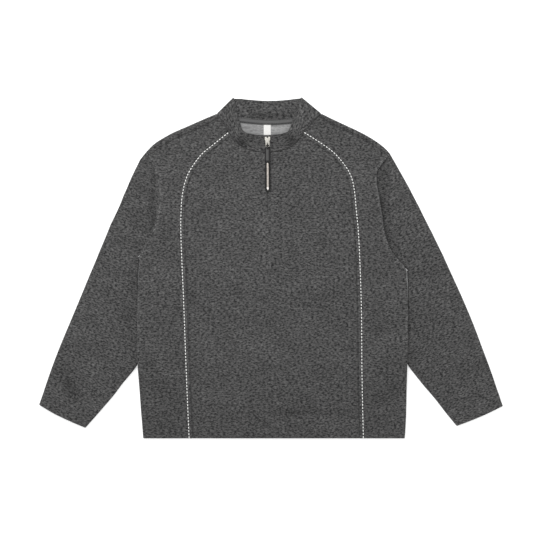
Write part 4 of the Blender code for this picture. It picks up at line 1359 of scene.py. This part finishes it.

# --- Dark stitching --------------------------------------------------------------------------
# Rows of thin thread in the cloth's colour: along the neck tape's edges, over the raw edge
# # below it, where they also stand in for the shadow under the tape (painted shadow), and round
# # the turned-up hem and cuffs.

DARK_THREAD = thread("dark_thread", (0.018, 0.018, 0.0185))
HEM_DEPTH, CUFF_DEPTH = 24.0, 20.0
tape_stitch_and_shadow_lines = []
# The two lowest rows, below the tape's lower edge, are partly painted shadow under that edge
for above_seam, height in ((-6.7, 0.3), (-5.6, 0.5), (-4.2, 1.0), (2.2, 1.0)):
    line = spaced([p for p in curve(BACK_NECK) if -79.0 < p.x < 61.0], 90)
    tape_stitch_and_shadow_lines.append(
        [Vector((p.x, p.y + above_seam, NECK_TAPE_Z + TAPE_WALL * height)) for p in line]
    )
tape_stitches_and_shadow = run_along("neck_tape_stitches_and_painted_shadow", tape_stitch_and_shadow_lines, 1.6, 1.9, 1.2, 0.5, DARK_THREAD)
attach(tape_stitches_and_shadow, "garment")

hem_line = spaced([Vector((p.x, p.y + HEM_DEPTH)) for p in curve(HEM)], 300)[3:-3]
hem_lines = [[on_front(p, -0.05) for p in hem_line]]
for shape in SLEEVE.values():
    cuff = curve(shape["cuff"])
    up_arm = (cuff[-1] - cuff[0]).orthogonal().normalized()
    up_arm *= CUFF_DEPTH if up_arm.y > 0 else -CUFF_DEPTH
    hem_lines.append([on_sleeve(p + up_arm, -0.05) for p in spaced(cuff, 60)[3:-3]])
hem_stitches = run_along("hem_stitches", hem_lines, 3.4, 2.3, 0.8, 0.5, DARK_THREAD)
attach(hem_stitches, "garment")

# --- Slider ----------------------------------------------------------------------------------
# A die-cast slider, plated in satin silver. It stands closed at the top of the zip, and
# its bridge holds the pull.


def plated(name, dark, light, roughness, start, end, above, tip):
    """Satin plating: fine brushed lines along Y, and a softly uneven tone. Above a height,
    it turns to the colour of its tip from the start to the end of a band of Y."""
    made, tree, shader = new_finish(name, {"Metallic": 1.0})
    place = add_node(tree, "ShaderNodeTexCoord", {}).outputs["Object"]
    apart = add_node(tree, "ShaderNodeSeparateXYZ", {0: place})
    reach = calculated(tree, "SUBTRACT", apart.outputs["Y"], start * MM)
    reach = calculated(tree, "DIVIDE", reach, (end - start) * MM)
    reach = calculated(tree, "MINIMUM", calculated(tree, "MAXIMUM", reach, 0.0), 1.0)
    high = calculated(tree, "GREATER_THAN", apart.outputs["Z"], above * MM)
    colour = add_node(tree, "ShaderNodeMixRGB", {
        "Fac": calculated(tree, "MULTIPLY", reach, high),
        "Color1": two_tone(tree, clouds(tree, 320.0), 0.35, dark, 0.62, light),
        "Color2": (*tip, 1.0),
    })
    give(shader, {"Base Color": colour.outputs["Color"]})
    brushed = {"Vector": place, "Scale": (5200.0, 260.0, 5200.0)}
    drawn_out = add_node(tree, "ShaderNodeMapping", brushed).outputs[0]
    grain = {"Vector": drawn_out, "Scale": 1.0, "Detail": 3.0}
    lines = add_node(tree, "ShaderNodeTexNoise", grain).outputs["Fac"]
    uneven_gloss(tree, shader, lines, roughness, 0.3)
    emboss(tree, shader, lines, 0.4, 0.03)
    return made


def finish_node(node, look):
    """Gives a piece of the frame its finish."""
    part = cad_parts[node]
    for slot in part.material_slots:
        slot.material = look


# Where the strap hangs, the bridge is coated black like it.
SATIN_SILVER = plated(
    "satin_silver", (0.31, 0.30, 0.27), (0.50, 0.487, 0.45), 0.38,
    start=265.0, end=258.5, above=8.6, tip=(0.02, 0.019, 0.018),
)
finish_node("zip_slider", SATIN_SILVER)

# --- Pull ------------------------------------------------------------------------------------
# What the hand takes: a black coated strap that loops through the slider's bridge, and
# crimped to it a black frame round a half-round bar of warm silver.

HINGE = Vector((ZIP_X, 257.2, LAYERS + COLLAR_ZIP_RISE + LAID_ON + 2.8))
PULL_LIES = Euler((math.radians(0.97), 0.0, math.radians(0.4))).to_matrix()
# Strap, from the hinge down: y, half width
STRAP = (
    (0.8, 3.1), (0.5, 3.5), (0.0, 3.7), (-0.8, 3.8), (-4.5, 4.0), (-5.6, 4.6), (-7.0, 5.2),
    (-9.0, 5.4), (-14.0, 5.4), (-20.0, 5.4), (-26.0, 5.4), (-31.6, 5.4), (-32.3, 5.1),
    (-32.6, 4.6),
)
STRAP_WINDOW = (2.2, -0.8, -9.0)
STRAP_WALL, STRAP_CROWN = 1.4, 0.45
STRAP_MIDDLE = 3.1
# Bar, from its upper end down: y, half width
BAR = (
    (-37.4, 2.0), (-37.6, 2.6), (-38.2, 3.0), (-39.5, 3.1), (-50.0, 3.1), (-65.0, 3.1),
    (-80.0, 3.1), (-91.0, 3.1), (-92.3, 2.8), (-93.3, 2.1), (-93.9, 1.2), (-94.1, 0.5),
)
BAR_BASE, BAR_FLANK, BAR_TOP = -1.3, 0.5, 1.3
BAR_STEPS, BAR_ROUND = 14, 0.8


def glossy_coat(name, colour, roughness):
    """Thick glossy coating, very slightly wavy and rubbed duller in places."""
    made, tree, shader = new_finish(
        name, {"Base Color": (*colour, 1.0), "Specular IOR Level": 0.22}
    )
    rubbed = clouds(tree, 420.0)
    uneven_gloss(tree, shader, rubbed, roughness, 0.3)
    emboss(tree, shader, rubbed, 0.3, 0.06)
    return made


def on_pull(x, y, z):
    return PULL_LIES @ Vector((x, y, z)) + HINGE


def make_strap():
    half_window, window_top, window_bottom = STRAP_WINDOW
    rows = []
    for y, half in STRAP:
        side = (half, half - 0.4, min(STRAP_MIDDLE, half - 0.6), half_window, 0.8)
        across = [*(-x for x in side), *side[::-1]]
        rows.append([
            on_pull(x, y, STRAP_WALL / 2 - STRAP_CROWN * (x / half) ** 2) for x in across
        ])
    mesh = bmesh.new()
    add_grid(mesh, rows[::-1], unrolled(rows[::-1]))
    hole = []
    for face in mesh.faces:
        middle = face.calc_center_median() / MM - HINGE
        if abs(middle.x) < half_window and window_bottom < middle.y < window_top:
            hole.append(face)
    bmesh.ops.delete(mesh, geom=hole, context="FACES")
    wall = STRAP_WALL - STRAP_CROWN
    made = make_up("strap_coated", mesh, (BLACK_COAT,), wall, gap=0.0, soft_edge=0.2)
    made.data.materials.append(PAINTED_HIGHLIGHT_COAT)
    for face in made.data.polygons:
        off = PULL_LIES.inverted() @ (face.center / MM - HINGE)
        # The flat middle's upper faces take a grey coat: a painted reflection of the light
        rubbed = face.normal.z > 0.9 and -STRAP_MIDDLE < off.x < half_window
        face.material_index = int(rubbed)
    return made


def make_bar():
    mesh = bmesh.new()
    rings = []
    low = BAR_BASE + BAR_FLANK
    high = BAR_TOP - low
    arch = [math.pi * step / BAR_STEPS for step in range(BAR_STEPS + 1)]
    for y, half in BAR:
        ring = [(half * math.cos(a), low + high * math.sin(a) ** BAR_ROUND) for a in arch]
        ring = [(half, BAR_BASE), *ring, (-half, BAR_BASE)]
        rings.append([mesh.verts.new(on_pull(x, y, z) * MM) for x, z in ring])
    for upper, lower in zip(rings, rings[1:]):
        for k in range(len(upper)):
            mesh.faces.new((upper[k - 1], upper[k], lower[k], lower[k - 1]))
    mesh.faces.new(rings[0])
    mesh.faces.new(rings[-1])
    bmesh.ops.recalc_face_normals(mesh, faces=mesh.faces)
    made = add_object("bar_plated", mesh, (WARM_SILVER,))
    made.data.set_sharp_from_angle(angle=math.radians(40))
    return made


# The strap's flat middle is painted grey, a painted reflection, and the bar's lower tip is
# painted near white, a painted highlight.
BLACK_COAT = glossy_coat("black_coat", (0.004, 0.004, 0.004), 0.3)
PAINTED_HIGHLIGHT_COAT = glossy_coat("painted_highlight_coat", (0.058, 0.058, 0.057), 0.45)
# Below Y 168 mm the bar's colour turns near white: a painted highlight at its lower tip
WARM_SILVER = plated(
    "warm_silver_plating", (0.30, 0.275, 0.25), (0.43, 0.395, 0.36), 0.34,
    start=170.0, end=168.0, above=0.0, tip=(0.7, 0.67, 0.64),
)
strap_coated = make_strap()
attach(strap_coated, "zip_pull")
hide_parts("pull_strap")
finish_node("pull_frame", BLACK_COAT)
bar_plated = make_bar()
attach(bar_plated, "zip_pull")
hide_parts("pull_bar")
